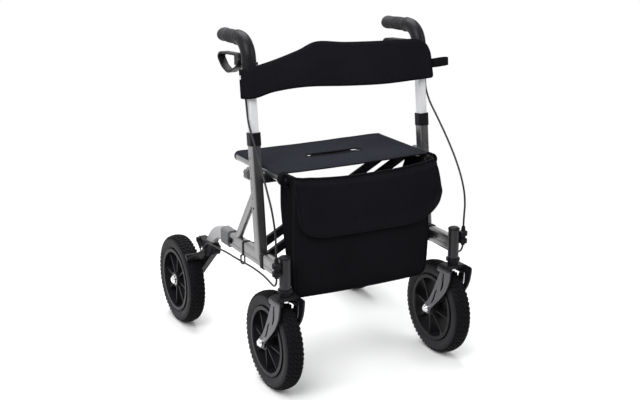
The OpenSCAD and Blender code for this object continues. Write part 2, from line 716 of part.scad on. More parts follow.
// A slot from t0 to t1 along the arm, its middle wandering from d0 to d1, tapering to both ends
function arm_slot(t0, t1, d0, d1, half, steps) = concat(
  [for (i = [0:steps]) let (u = i / steps)
    arm_point(mix(t0, t1, u), mix(d0, d1, u) + 2 * sin(360 * u) + half * pow(sin(180 * u), 0.6) + 0.3)],
  [for (i = [steps:-1:0]) let (u = i / steps)
    arm_point(mix(t0, t1, u), mix(d0, d1, u) + 2 * sin(360 * u) - half * pow(sin(180 * u), 0.6) - 0.3)]
);
module fork_arm() {
  difference() {
    union() {
      intersection() {
        polygon(arm_outline(18));
        translate([head_y - 100, 0]) square([300, crown_top_z]);
      }
      translate([front_y, wheel_r]) circle(15);
    }
    polygon(arm_slot(0.1, 0.5, 5, -5, 4, 14));
    polygon(arm_slot(0.54, 0.86, 6, -1, 2.8, 12));
  }
}
// The fork seen from the front: a crown bar with rounded shoulders and fillets under them
module fork_front(low_z, shoulder) {
  translate([-fork_out, low_z]) square([2 * fork_out, crown_top_z - shoulder - low_z]);
  translate([shoulder - fork_out, low_z]) square([2 * (fork_out - shoulder), crown_top_z - low_z]);
  for (m = [-1, 1]) translate([m * (fork_out - shoulder), crown_top_z - shoulder]) circle(shoulder);
}
module caster_fork(s) {
  shoulder = 12;
  fillet = 5;
  crown_front = head_y - 16;
  crown_back = head_y + 19;
  boss_d = stem_d + 20;
  color("#4a4b4e") on_side(s) difference() {
    union() {
      intersection() {
        for (x = [frame_x - fork_out, frame_x + fork_in]) side_plate(x, fork_arm_t) fork_arm();
        translate([frame_x, 0, 0]) rotate([90, 0, 0]) linear_extrude(1000) fork_front(0, shoulder);
      }
      translate([frame_x, crown_back, 0]) rotate([90, 0, 0]) linear_extrude(crown_back - crown_front)
        difference() {
          fork_front(crown_low_z - fillet, shoulder);
          translate([-fork_in + fillet, crown_low_z - fillet - 1])
            square([2 * (fork_in - fillet), fillet + 1]);
          for (m = [-1, 1]) translate([m * (fork_in - fillet), crown_low_z - fillet]) circle(fillet);
        }
      at_head() translate([0, 0, crown_low_z]) cylinder(h = crown_t, d = boss_d);
    }
    at_head() translate([0, 0, crown_low_z - eps]) cylinder(h = crown_t + 2 * eps, d = stem_d + 2 * run_gap);
    at_front_wheel() rod_x(-fork_out - 1, fork_out + 1, axle_d + 2 * run_gap);
  }
}
module caster_bolts(s) {
  nut_h = 6;
  color("#c9cbce") on_side(s) {
    at_head() {
      translate([0, 0, crown_low_z]) cylinder(h = head_high_z - crown_low_z + 2, d = stem_d);
      translate([0, 0, crown_low_z - nut_h]) cylinder(h = nut_h, d = 24);
    }
    at_front_wheel() {
      rod_x(-fork_out - 2, fork_out + 2, axle_d);
      for (m = [-1, 1]) translate([m * fork_out, 0, 0]) rotate([0, m * 90, 0]) axle_cap(22, 10);
      bearing_rings(front_hub_len);
    }
  }
}

// Handle
module handle_tube(s) {
  color("#dcdde0") on_side(s) at_post() translate([0, 0, handle_low])
    linear_extrude(elbow_low + tube_seat - handle_low) tube_ring(handle_w, handle_d, handle_r, tube_wall);
}
elbow_turn = 90 - post_lean + grip_droop;
// Frame of a grip: its start at the elbow's end, +y along the grip
module at_grip() {
  at_post() translate([0, elbow_bend_r, elbow_top]) rotate([-elbow_turn, 0, 0]) translate([0, -elbow_bend_r, 0])
    rotate([90, 0, 0]) children();
}
module handle_elbow(s) {
  flare = 1;
  color("#4d4e52") on_side(s) difference() {
    union() {
      at_post() translate([0, 0, elbow_low]) cylinder(h = socket_len, d1 = elbow_d + 2 * flare, d2 = elbow_d);
      at_post() translate([0, elbow_bend_r, elbow_top]) rotate([90, 0, -90])
        rotate_extrude(angle = elbow_turn, $fn = 96) translate([elbow_bend_r, 0]) circle(d = elbow_d);
      at_grip() rod_y(-1, 6, elbow_d + flare);
      at_grip() rod_y(0, grip_len - 8, spigot_d);
      side_plate(frame_x - lug_w / 2, lug_w) {
        translate([lever_y, lever_z]) circle(8);
        translate([lever_y - 40, lever_z - 8]) square([40, 16]);
      }
    }
    at_post() translate([0, 0, elbow_low - eps]) linear_extrude(tube_seat + eps)
      rounded_rect(handle_w, handle_d, handle_r);
    translate([0, lever_y, lever_z]) rod_x(0, 2 * frame_x, lever_pin_d + 2 * run_gap);
  }
}
function grip_radius(u) = grip_d / 2 - 3.2 + 2 * sin(180 * min(u / 0.7, 1)) + 1.8 * smooth(max((u - 0.6) / 0.4, 0));
module grip(s) {
  flange_t = 5;
  steps = 22;
  end_r = 8;
  body_len = grip_len - flange_t - end_r;
  color("#3f4044") on_side(s) at_grip() translate([0, 6 + body_gap, 0]) difference() {
    turned_y() polygon(concat(
      [[0, 0], [grip_d / 2 + 1.5, 0], [grip_d / 2 + 1.5, flange_t]],
      [for (i = [0:steps]) [grip_radius(i / steps), flange_t + body_len * i / steps]],
      [for (a = [15:15:90]) [
        grip_radius(1) - end_r * (1 - cos(a)), flange_t + body_len + end_r * sin(a)]],
      [[0, grip_len]]
    ));
    rod_y(-1, grip_len - 12, spigot_d + 2 * run_gap);
    for (k = [0:2]) translate([0, 11 + 8 * k, 0]) difference() {
      rod_y(0, 2.4, 60);
      rod_y(-1, 3.4, grip_d - 5.4);
    }
  }
}
// Brake lever: a bar bent into a closed loop, drawn round from its pivot
lever_loop = [[6, 3], [114, -5], [127, -17], [103, -38], [74, -47], [60, -47], [18, -29], [6, -16]];
lever_path = [for (i = [0:len(lever_loop) - 1]) each rounded_corner(lever_loop, i, 11)];
module lever_bar() {
  last = len(lever_path) - 1;
  difference() {
    polygon([for (i = [0:last]) ring_step(lever_path, i, lever_t / 2)]);
    polygon([for (i = [0:last]) ring_step(lever_path, i, -lever_t / 2)]);
  }
}
module brake_lever(s) {
  cheek_gap = lug_w / 2 + body_gap;
  color("#19191b") on_side(s) {
    difference() {
      side_plate(frame_x - lever_w / 2, lever_w) translate([lever_y, lever_z]) {
        lever_bar();
        polygon([[-6, 5], [10, 5], [24, 1], [24, -24], [8, -16], [-6, -5]]);
        circle(8);
      }
      translate([frame_x - cheek_gap, lever_y - 20, lever_z - 10]) cube([2 * cheek_gap, 30, 20]);
      translate([0, lever_y, lever_z]) rod_x(0, 2 * frame_x, lever_pin_d + 2 * run_gap);
    }
    translate([frame_x, lever_y, lever_z]) rod_x(-lever_w / 2 - 1.5, lever_w / 2 + 1.5, lever_pin_d);
  }
}
module height_knob(s) {
  lobes = 6;
  base = post_depth / 2 + knob_boss + body_gap;
  color("#5c5d61") on_side(s) at_post() translate([0, 0, knob_at]) difference() {
    union() {
      rod_y(base, base + knob_t, knob_d);
      rod_y(post_depth / 2 - tube_wall, base + 1, knob_stem_d);
    }
    for (i = [0:lobes - 1]) rotate([0, 360 * i / lobes, 0]) translate([knob_d / 2 + 3, 0, 0])
      rod_y(base - 1, base + knob_t + 1, 10);
  }
}

// Fold: brackets on the frame, two crossing arms with a seat tube each
module ear_outline() {
  translate([brace_x, brace_pivot_z]) circle(d = hinge_d);
  polygon([
    [brace_x, brace_pivot_z - hinge_d / 2], [frame_x - rail_w / 2, rail_z - rail_h / 2 + 4],
    [frame_x - rail_w / 2, rail_z + rail_h / 2 - 6], [brace_x, brace_pivot_z + hinge_d / 2]
  ]);
}
module fold_brackets(s) {
  band = 2.4;
  saddle_low = seat_tube_z - seat_tube_d / 2 - 12;
  saddle_back = brace_mid_y - outer_arm_gap / 2 - bar_w / 2 - 4;
  color("#18181a") on_side(s) {
    difference() {
      union() {
        for (y = [front_ear_y, rear_ear_y])
          translate([0, y + ear_t / 2, 0]) rotate([90, 0, 0]) linear_extrude(ear_t) ear_outline();
        translate([frame_x, front_ear_y + ear_t / 2, rail_z]) rotate([90, 0, 0]) linear_extrude(ear_t)
          tube_ring(rail_w + 2 * band, rail_h + 2 * band, 6 + band, band);
      }
      translate([brace_x, 0, brace_pivot_z]) rod_y(-400, 200, hinge_pin_d);
      rail_block();
    }
    translate([brace_x, 0, brace_pivot_z])
      rod_y(front_ear_y - ear_t / 2 - 2, rear_ear_y + ear_t / 2 + 2, hinge_pin_d);
    difference() {
      translate([brace_x - 14, saddle_back - saddle_w, saddle_low])
        cube([frame_x - post_w / 2 - brace_x + 16, saddle_w, seat_tube_z - 4 - saddle_low]);
      translate([brace_x, 0, seat_tube_z]) rod_y(-400, 200, seat_tube_d + 2 * body_gap);
      post_block();
    }
  }
}
// Cross bar in a plane of constant y, from the lower pivot at x = -brace_x to the seat tube at +brace_x
module cross_bar(y) {
  translate([-brace_x, y, brace_pivot_z]) rotate([0, -arm_angle, 0]) rotate([90, 0, 90])
    linear_extrude(arm_len) rounded_rect(bar_w, bar_h, 3);
}
module cross_arm(gap, bolt_d) {
  tube_front = front_ear_y + ear_t / 2 + body_gap;
  tube_back = rear_ear_y - ear_t / 2 - body_gap;
  difference() {
    union() {
      for (m = [-1, 1]) cross_bar(brace_mid_y + m * gap / 2);
      translate([-brace_x, 0, brace_pivot_z]) rod_y(tube_front, tube_back, hinge_d);
    }
    translate([-brace_x, 0, brace_pivot_z]) rod_y(-400, 200, hinge_pin_d + 2 * run_gap);
    translate([brace_x, 0, seat_tube_z]) rod_y(-400, 200, seat_tube_d);
    translate([0, 0, brace_mid_z]) rod_y(-400, 200, bolt_d);
  }
}
module cross_arm_outer() {
  color("#1a1a1c") cross_arm(outer_arm_gap, hinge_pin_d);
}
module cross_arm_inner() {
  color("#1a1a1c") mirror([1, 0, 0]) cross_arm(inner_arm_gap, hinge_pin_d + 2 * run_gap);
}
module cross_pivot() {
  reach = outer_arm_gap / 2 + bar_w / 2;
  washer_front = inner_arm_gap / 2 + bar_w / 2 + body_gap;
  washer_back = outer_arm_gap / 2 - bar_w / 2;
  color("#b9bbbe") translate([0, brace_mid_y, brace_mid_z]) {
    rod_y(-reach - 1, reach + 1, hinge_pin_d);
    rod_y(-reach - 7, -reach, 18);
    rod_y(reach, reach + 7, 18);
    for (m = [-1, 1]) difference() {
      rod_y(m < 0 ? -washer_back : washer_front, m < 0 ? -washer_front : washer_back, 20);
      rod_y(-reach, reach, hinge_pin_d);
    }
  }
}
module seat_tube(s) {
  plug = 8;
  color("#1a1a1c") on_side(s) translate([brace_x, 0, seat_tube_z]) {
    difference() {
      rod_y(seat_front_y, seat_rear_y, seat_tube_d);
      rod_y(seat_front_y - 1, seat_rear_y + 1, seat_tube_d - 2 * tube_wall);
    }
    for (end = [[seat_front_y, 180], [seat_rear_y, 0]]) translate([0, end[0], 0]) rotate([end[1], 0, 0])
      turned_y() polygon([
        [0, -20], [seat_tube_d / 2 - tube_wall, -20], [seat_tube_d / 2 - tube_wall, 0], [seat_tube_d / 2, 0],
        [seat_tube_d / 2, 3], [seat_tube_d / 2 - 1.5, 5.5], [seat_tube_d / 2 - 5, plug - 0.6], [0, plug]
      ]);
  }
}

// Seat cloth: over both tubes, round their outer sides, sagging between them
function seat_point(u) = [u * brace_x, seat_tube_z + seat_wrap_r - seat_sag * (1 - u * u)];
seat_path = concat(
  [for (a = [0:15:90]) [brace_x + seat_wrap_r * cos(a), seat_tube_z + seat_wrap_r * sin(a)]],
  [for (i = [1:15]) seat_point(1 - i / 8)],
  [for (a = [90:15:180]) [-brace_x + seat_wrap_r * cos(a), seat_tube_z + seat_wrap_r * sin(a)]]
);
module seat() {
  pull_w = 30;
  pull_back = 10;
  pull_t = 2;
  pull_reach = 4;
  mid_y = (seat_front_y + seat_rear_y) / 2;
  pull = [for (i = [-pull_reach:pull_reach]) seat_point(i / 8) - [0, (seat_t + pull_t) / 2]];
  color("#1b1d26") {
    difference() {
      translate([0, seat_rear_y - 2, 0]) rotate([90, 0, 0])
        linear_extrude(seat_rear_y - seat_front_y - 4) polygon(ribbon(seat_path, seat_t / 2));
      translate([0, mid_y, seat_tube_z - 40]) linear_extrude(80) rounded_rect(slot_len, slot_w, slot_w / 2 - 0.5);
    }
    translate([0, mid_y + pull_back + pull_w / 2, 0]) rotate([90, 0, 0]) linear_extrude(pull_w)
      polygon(ribbon(pull, pull_t / 2));
  }
}
// Bag: its front outline widens to rounded shoulders, and loops hang it on the seat tubes
function bag_half(u) = mix(bag_foot_w, bag_top_w, smooth(min(u / 0.8, 1))) / 2;
bag_corner = 26;
function bag_side(inset) = concat(
  [for (a = [-90:15:0]) [bag_foot_w / 2 - bag_corner, bag_foot_z + bag_corner]
    + (bag_corner - inset) * [cos(a), sin(a)]],
  [for (i = [1:10]) [bag_half(i / 10) - inset, mix(bag_foot_z + bag_corner, bag_top_z, i / 10)]]
);
function both_halves(side) = concat(side, reversed([for (p = side) [-p[0], p[1]]]));
function bag_profile(inset) = [
  [bag_front_y + inset, bag_foot_z - 1 + inset], [bag_front_y + bag_depth - inset, bag_foot_z - 1 + inset],
  [bag_front_y + bag_depth - inset, bag_top_z + 1], [bag_front_y + inset, bag_top_z + 1]
];
module bag_block(inset, rise) {
  intersection() {
    rotate([90, 0, 0]) linear_extrude(1000) polygon(both_halves(concat(
      bag_side(inset), [[bag_top_w / 2 - inset, bag_top_z + rise]])));
    side_plate(-bag_top_w, 2 * bag_top_w) polygon(bag_profile(inset));
  }
}
module bag() {
  wall = 3;
  mouth_side = 14;
  loop_w = 22;
  loop_t = 1.6;
  loop_y = seat_front_y - 6;
  loop_r = seat_wrap_r + seat_t / 2 + body_gap + loop_t / 2;
  loop_cut = seat_wrap_r - seat_t / 2 - 3;
  color("#151519") {
    difference() {
      bag_block(0, 0.5);
      bag_block(wall, 2);
      side_plate(mouth_side - bag_top_w / 2, bag_top_w - 2 * mouth_side) polygon([
        [bag_front_y + wall, bag_top_z + 2], [bag_front_y + wall + 1, bag_top_z - 4],
        [bag_front_y + bag_depth + 1, bag_top_z - bag_mouth_drop], [bag_front_y + bag_depth + 1, bag_top_z + 2]
      ]);
      for (m = [-1, 1]) translate([m * brace_x, 0, seat_tube_z]) rod_y(-500, 200, 2 * loop_r);
    }
    for (m = [-1, 1]) translate([m * brace_x, loop_y, seat_tube_z]) difference() {
      rod_y(0, loop_w, 2 * loop_r + loop_t);
      rod_y(-1, loop_w + 1, 2 * loop_r - loop_t);
      translate([m > 0 ? -2 * loop_r : 0, -1, loop_cut]) cube([2 * loop_r, loop_w + 2, loop_r]);
    }
  }
}
module bag_flap() {
  low_z = bag_top_z - flap_drop;
  half = bag_top_w / 2 + 1;
  corner = 70;
  front = bag_front_y - body_gap;
  outline = concat(
    [for (a = [-90:10:0]) [
      half - 12 - corner + corner * cos(a), low_z + corner * 0.7 * (1 + sin(a))]],
    [[half, bag_top_z - 40], [half - 6, bag_top_z - 6]]
  );
  color("#17171b") translate([0, front, 0]) rotate([90, 0, 0]) linear_extrude(flap_t)
    polygon(both_halves(outline));
}
// Backrest: a band bowed ahead of the handles, in the leaning frame of the posts
module backrest() {
  hug = elbow_d / 2 + 1 + band_gap + backrest_t / 2;
  wrap = [for (a = [20:-10:-90]) [frame_x + hug * cos(a), hug * sin(a)]];
  bow = [for (i = [1:19]) let (u = 1 - i / 10) [u * frame_x, -hug - backrest_bow * (1 - u * u)]];
  path = concat(wrap, bow, reversed([for (p = wrap) [-p[0], p[1]]]));
  over = 2 * hug;
  low = spline([
    [-frame_x - over, 0, -4], [-frame_x, 0, -4], [50 - frame_x, 0, 8], [132 - frame_x, 0, 13], [0, 0, 6],
    [frame_x - 132, 0, 1], [frame_x, 0, 2], [frame_x + over, 0, 2]
  ], 3);
  top = spline([
    [-frame_x - over, 0, backrest_end_h - 10], [-frame_x, 0, backrest_end_h],
    [52 - frame_x, 0, backrest_end_h + 13], [112 - frame_x, 0, mix(backrest_end_h, backrest_mid_h, 0.7)],
    [162 - frame_x, 0, backrest_mid_h + 4], [0, 0, backrest_mid_h - 3], [frame_x - 120, 0, backrest_mid_h - 8],
    [frame_x - 30, 0, backrest_mid_h - 11], [frame_x + 10, 0, backrest_mid_h - 20],
    [frame_x + hug, 0, backrest_right_h], [frame_x + over, 0, backrest_right_h - 10]
  ], 3);
  color("#191a22") translate([0, post_foot_y, rail_z]) rotate([-post_lean, 0, 0])
    translate([0, 0, backrest_low]) intersection() {
      translate([0, 0, -10]) linear_extrude(backrest_mid_h + 30) polygon(ribbon(path, backrest_t / 2));
      translate([0, 200, 0]) rotate([90, 0, 0]) linear_extrude(500) polygon(concat(
        [for (p = low) [p[0], p[2]]], reversed([for (p = top) [p[0], p[2]]])));
    }
}
// Webbing loop for a walking stick, beside the right handle
module stick_strap() {
  hug = elbow_d / 2 + 1 + band_gap + backrest_t + body_gap;
  loop_x = 39;
  loop_y = 40;
  strap_t = 2;
  forward = 14;
  color("#131314") at_post() rotate([0, 0, -forward]) translate([hug + loop_x / 2, 0, backrest_low + 26])
    linear_extrude(strap_w) difference() {
      rounded_rect(loop_x, loop_y, 17);
      rounded_rect(loop_x - 2 * strap_t, loop_y - 2 * strap_t, 15);
    }
}

for (s = [-1, 1]) {
  side = s < 0 ? "left_" : "right_";
  lower_rail(s);
  head_tube(s);
  post(s);
  strut(s);
  post_collar(s);
  rail_collar(s);
  rear_tube(s);
  rear_leg(s);
  head_fittings(s);
  cable_guides(s);
  brake_cable(s);
  rear_axle(s);
  fold_brackets(s);
  handle_tube(s);
  handle_elbow(s);
  grip(s);
  brake_lever(s);
  height_knob(s);
  brake_shoe(s);
  caster_fork(s);
  caster_bolts(s);
  front_rim(s);
  front_tyre(s);
  rear_rim(s);
  rear_tyre(s);
  seat_tube(s);
}
cross_arm_outer();
cross_arm_inner();
cross_pivot();
seat();
bag();
bag_flap();
backrest();
stick_strap();
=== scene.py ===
"""Looks of an all terrain rollator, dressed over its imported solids.

Lengths are metres in the frame of the solids: +Z is up, the front faces -Y and the left side is -X.
"""
import json
import logging
import math
from dataclasses import dataclass
from enum import Enum
from functools import cached_property
from typing import Callable, Iterable, Sequence

import bpy
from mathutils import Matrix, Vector, noise


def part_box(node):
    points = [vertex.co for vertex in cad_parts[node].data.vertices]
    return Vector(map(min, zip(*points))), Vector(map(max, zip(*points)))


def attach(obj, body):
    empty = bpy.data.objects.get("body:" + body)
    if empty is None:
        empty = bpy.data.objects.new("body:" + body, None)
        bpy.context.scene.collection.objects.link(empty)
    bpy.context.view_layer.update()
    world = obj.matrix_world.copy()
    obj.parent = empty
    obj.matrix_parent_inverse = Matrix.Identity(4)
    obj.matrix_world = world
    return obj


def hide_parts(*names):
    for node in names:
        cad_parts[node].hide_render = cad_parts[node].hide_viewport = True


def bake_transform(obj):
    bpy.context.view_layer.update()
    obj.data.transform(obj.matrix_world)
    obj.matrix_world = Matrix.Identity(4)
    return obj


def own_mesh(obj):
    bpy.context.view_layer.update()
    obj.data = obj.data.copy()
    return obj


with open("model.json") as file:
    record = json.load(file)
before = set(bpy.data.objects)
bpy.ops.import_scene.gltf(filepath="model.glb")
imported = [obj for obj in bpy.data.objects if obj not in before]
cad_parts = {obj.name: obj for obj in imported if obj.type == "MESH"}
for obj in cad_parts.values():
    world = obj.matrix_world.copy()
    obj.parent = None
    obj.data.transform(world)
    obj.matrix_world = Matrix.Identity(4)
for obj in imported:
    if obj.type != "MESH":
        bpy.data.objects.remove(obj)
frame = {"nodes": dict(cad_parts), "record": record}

LOG = logging.getLogger("rollator")
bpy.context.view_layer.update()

Colour = tuple[float, float, float]
Place = tuple[float, float, float]
Line = list[tuple[float, float]]
Path = list[Vector]
Piece = bpy.types.Object
Socket = bpy.types.NodeSocket


class Side(Enum):
    """Side frame of the rollator, with the sign of its x."""

    LEFT = -1
    RIGHT = 1

    @property
    def prefix(self) -> str:
        """Start of the names of this side's nodes and bodies."""
        return "left_" if self is Side.LEFT else "right_"

    @property
    def seat_arm(self) -> str:
        """Body of the cross arm that carries this side's seat tube."""
        return "arm_inner" if self is Side.LEFT else "arm_outer"

    def at(self, x: float, y: float, z: float) -> Vector:
        """Point given for the right side, on this side."""
        return Vector((self.value * x, y, z))


class Space(Enum):
    """What a pattern is measured along."""

    OBJECT = "Object"
    CUT = "UV"


# Sizes that the solids were drawn with
FRAME_X = 0.242
BRACE_X = 0.206
SEAT_TUBE_Z = 0.530
SEAT_TUBE_R = 0.0125
WHEEL_R = 0.125
AXLE_Y = 0.260
REAR_X = 0.278
POST_FOOT = Vector((0.0, -0.193, 0.318))
POST_LEAN = math.radians(6.5)
ELBOW_R = 0.018
ELBOW_BEND_R = 0.050
ELBOW_TOP = 0.4908
GRIP_DROOP = math.radians(2.5)


def on_post(x: float, y: float, along: float) -> Vector:
    """Point given beside the leaning post, in the frame.

    Args:
        x: Distance from the middle of the rollator.
        y: Distance behind the post's axis, square to it.
        along: Distance up the post from the rail's middle.

    Returns:
        The point in the frame.
    """
    sine, cosine = math.sin(POST_LEAN), math.cos(POST_LEAN)
    return POST_FOOT + Vector((x, y * cosine + along * sine, along * cosine - y * sine))


def smooth(t: float) -> float:
    """Eased step from 0 to 1."""
    t = min(max(t, 0.0), 1.0)
    return t * t * (3.0 - 2.0 * t)


def mix(a: float, b: float, t: float) -> float:
    """Value between a and b."""
    return a + (b - a) * t


def curve_through(points: Sequence[Vector], steps: int) -> Path:
    """Smooth open curve through points.

    Args:
        points: The points, in order.
        steps: Number of pieces that each span is cut into.

    Returns:
        The points of the curve, both ends included.
    """
    path = []
    last = len(points) - 1
    for i in range(last):
        a, b = points[max(i - 1, 0)], points[i]
        c, d = points[i + 1], points[min(i + 2, last)]
        for k in range(steps):
            t = k / steps
            path.append(0.5 * (2 * b + (c - a) * t + (2 * a - 5 * b + 4 * c - d) * t ** 2
                               + (3 * b - a - 3 * c + d) * t ** 3))
    path.append(points[last].copy())
    return path


def path_length(path: Sequence[Vector]) -> float:
    """Length of a path in metres."""
    return sum((b - a).length for a, b in zip(path, path[1:]))


def ripple(point: Vector, scale: float, seed: float = 0.0) -> float:
    """Smooth noise from -1 to 1 at a point, at so many waves a metre."""
    return noise.noise(point * scale + Vector((seed, seed * 1.7, seed * 0.6)))


class Tree:
    """Node tree of a material or a world, with short calls for adding and joining nodes."""

    def __init__(self, owner: bpy.types.Material | bpy.types.World) -> None:
        """Takes up the tree of a new material or world.

        Args:
            owner: The material or world.
        """
        owner.use_nodes = True
        self.owner = owner
        self.nodes = owner.node_tree.nodes
        self.links = owner.node_tree.links
        self.shader = self.nodes.get("Principled BSDF")

    def add(self, kind: str, sockets: dict | None = None, **settings: object) -> bpy.types.Node:
        """Adds a node.

        Args:
            kind: Name of the node's type without its ShaderNode start.
            sockets: Values, or sockets to join, by the name or number of the input.
            **settings: Settings of the node itself.

        Returns:
            The node.
        """
        node = self.nodes.new("ShaderNode" + kind)
        for key, value in settings.items():
            setattr(node, key, value)
        for key, value in (sockets or {}).items():
            self.feed(node.inputs[key], value)
        return node

    def feed(self, socket: Socket, value: object) -> None:
        """Sets an input to a value, or joins it to another node's output.

        Args:
            socket: The input.
            value: The value, or the output to join.
        """
        if isinstance(value, Socket):
            self.links.new(value, socket)
        else:
            socket.default_value = value

    def finish(self, **sockets: object) -> None:
        """Sets the shader's inputs, named with underscores for spaces."""
        for key, value in sockets.items():
            self.feed(self.shader.inputs[key.replace("_", " ")], value)

    def colour(self) -> Socket:
        """Output that feeds the shader's colour so far."""
        return self.shader.inputs["Base Color"].links[0].from_socket

    def coords(self, space: Space, stretch: Place = (1.0, 1.0, 1.0)) -> Socket:
        """Coordinates of a pattern, stretched along its axes."""
        where = self.add("TexCoord").outputs[space.value]
        return self.add("Mapping", {"Vector": where, "Scale": stretch}).outputs["Vector"]

    def speckle(self, where: Socket, scale: float, detail: float = 3.0) -> Socket:
        """Noise from 0 to 1."""
        return self.add("TexNoise", {"Vector": where, "Scale": scale, "Detail": detail}).outputs["Fac"]

    def shades(self, factor: Socket, stops: Sequence[tuple[float, Colour]]) -> Socket:
        """Colours that follow a factor.

        Args:
            factor: The factor's output.
            stops: Places from 0 to 1, each with its colour.

        Returns:
            The colour's output.
        """
        ramp = self.add("ValToRGB", {"Fac": factor})
        elements = ramp.color_ramp.elements
        while len(elements) < len(stops):
            elements.new(0.5)
        for element, (place, colour) in zip(elements, stops):
            element.position = place
            element.color = (*colour, 1.0)
        return ramp.outputs["Color"]

    def span(self, factor: Socket, low: float, high: float,
             start: float = 0.0, end: float = 1.0) -> Socket:
        """Number that goes from low to high as a factor goes from start to end."""
        return self.add("MapRange", {"Value": factor, "From Min": start, "From Max": end,
                                     "To Min": low, "To Max": high}).outputs["Result"]

    def tint(self, factor: Socket, a: Socket | Colour, b: Socket | Colour) -> Socket:
        """Colour that goes from a to b as a factor goes from 0 to 1."""
        ends = {6 + k: c if isinstance(c, Socket) else (*c, 1.0) for k, c in enumerate((a, b))}
        return self.add("Mix", {0: factor, **ends}, data_type="RGBA").outputs[2]

    def sum(self, kind: str, *terms: object) -> Socket:
        """Numbers put together by a kind of Math node."""
        return self.add("Math", dict(enumerate(terms)), operation=kind).outputs["Value"]

    def axes(self) -> bpy.types.bpy_prop_collection:
        """Outputs of the object's own X, Y and Z."""
        return self.add("SeparateXYZ", {0: self.coords(Space.OBJECT)}).outputs

    def relief(self, height: Socket, strength: float, depth: float,
               under: Socket | None = None) -> Socket:
        """Normal of a bumpy surface.

        Args:
            height: The height's output.
            strength: How much of the bump is taken.
            depth: Depth of the bump in metres.
            under: Normal that the bump lies on.

        Returns:
            The normal's output.
        """
        node = self.add("Bump", {"Height": height, "Strength": strength, "Distance": depth})
        if under is not None:
            self.links.new(under, node.inputs["Normal"])
        return node.outputs["Normal"]

    def eased(self, radius: float) -> Socket:
        """Normal with edges rounded by a radius."""
        return self.add("Bevel", {"Radius": radius}, samples=6).outputs["Normal"]

    def edges(self, radius: float) -> Socket:
        """Factor that is 1 along outer and inner edges.

        Args:
            radius: Radius of the rounding that finds them.

        Returns:
            The factor's output.
        """
        plain = self.add("NewGeometry").outputs["Normal"]
        dot = self.add("VectorMath", {0: self.eased(radius), 1: plain}, operation="DOT_PRODUCT")
        return self.span(dot.outputs["Value"], 1.0, 0.0, 0.80, 0.985)


def scaled(colour: Colour, factor: float) -> Colour:
    """Colour made lighter or darker."""
    return (colour[0] * factor, colour[1] * factor, colour[2] * factor)


@dataclass(frozen=True)
class Finish:
    """A surface finish: its name, colour and roughness."""

    name: str
    colour: Colour
    roughness: float

    def material(self) -> bpy.types.Material:
        """The finish's material, made on first use.

        Returns:
            The material.
        """
        title = self.name + "_finish"
        found = bpy.data.materials.get(title)
        if found is None:
            found = bpy.data.materials.new(title)
            self.lay(Tree(found))
        return found

    def lay(self, tree: Tree) -> None:
        """Builds the finish in a node tree.

        Args:
            tree: The material's node tree.
        """
        raise NotImplementedError


@dataclass(frozen=True)
class Paint(Finish):
    """Metallic or plain paint on metal, with fine flakes and edges rubbed lighter."""

    metallic: float = 0.7
    flake: float = 0.10
    rub: float = 1.35
    ease: float = 0.0010
    coat: float = 0.15
    gloss: float = 0.5

    def lay(self, tree: Tree) -> None:
        """Flakes, soft orange peel and rubbed edges.

        Args:
            tree: The material's node tree.
        """
        where = tree.coords(Space.OBJECT)
        flakes = tree.speckle(where, 1400.0, 1.0)
        cloud = tree.speckle(where, 14.0, 4.0)
        tone = tree.shades(tree.sum("MULTIPLY_ADD", flakes, 0.55, cloud), [
            (0.25, scaled(self.colour, 1.0 - self.flake)), (0.85, scaled(self.colour, 1.0 + self.flake))])
        worn = tree.sum("MULTIPLY", tree.edges(self.ease * 1.2), tree.span(cloud, 0.0, 1.0, 0.35, 0.75))
        peel = tree.relief(tree.speckle(where, 420.0, 2.0), 0.10, 0.0002, tree.eased(self.ease))
        tree.finish(Base_Color=tree.tint(worn, tone, scaled(self.colour, self.rub)),
                    Metallic=self.metallic, Normal=peel,
                    Roughness=tree.span(cloud, self.roughness * 0.85, self.roughness * 1.2),
                    Coat_Weight=self.coat, Coat_Roughness=0.18, Specular_IOR_Level=self.gloss)


@dataclass(frozen=True)
class PaintWithPaintedShade(Paint):
    """Paint on the outer faces of a fork that straddles a side frame's plane, with painted shade between
    them: its inner faces and crown are coloured near black for the shade that falls there.
    """

    # Near-black colour of the painted shade on the fork's inner faces and crown.
    inside: Colour = (0.0085, 0.0085, 0.010)
    inside_gloss: float = 0.16
    reach: float = 0.0332
    edge: float = 0.0004

    def lay(self, tree: Tree) -> None:
        """The paint on the outer faces, giving way to painted shade where they end.

        Args:
            tree: The material's node tree.
        """
        super().lay(tree)
        # Painted shade: nearer the side frame's plane than the outer faces, the paint is coloured near black
        # and loses its metal, its coat and most of its gloss.
        off = tree.sum("SUBTRACT", tree.sum("ABSOLUTE", tree.axes()["X"]), FRAME_X)
        face = tree.span(tree.sum("ABSOLUTE", off), 0.0, 1.0, self.reach - self.edge, self.reach + self.edge)
        tree.finish(Base_Color=tree.tint(face, self.inside, tree.colour()),
                    Metallic=tree.span(face, 0.0, self.metallic),
                    Specular_IOR_Level=tree.span(face, self.inside_gloss, self.gloss),
                    Coat_Weight=tree.span(face, 0.0, self.coat))


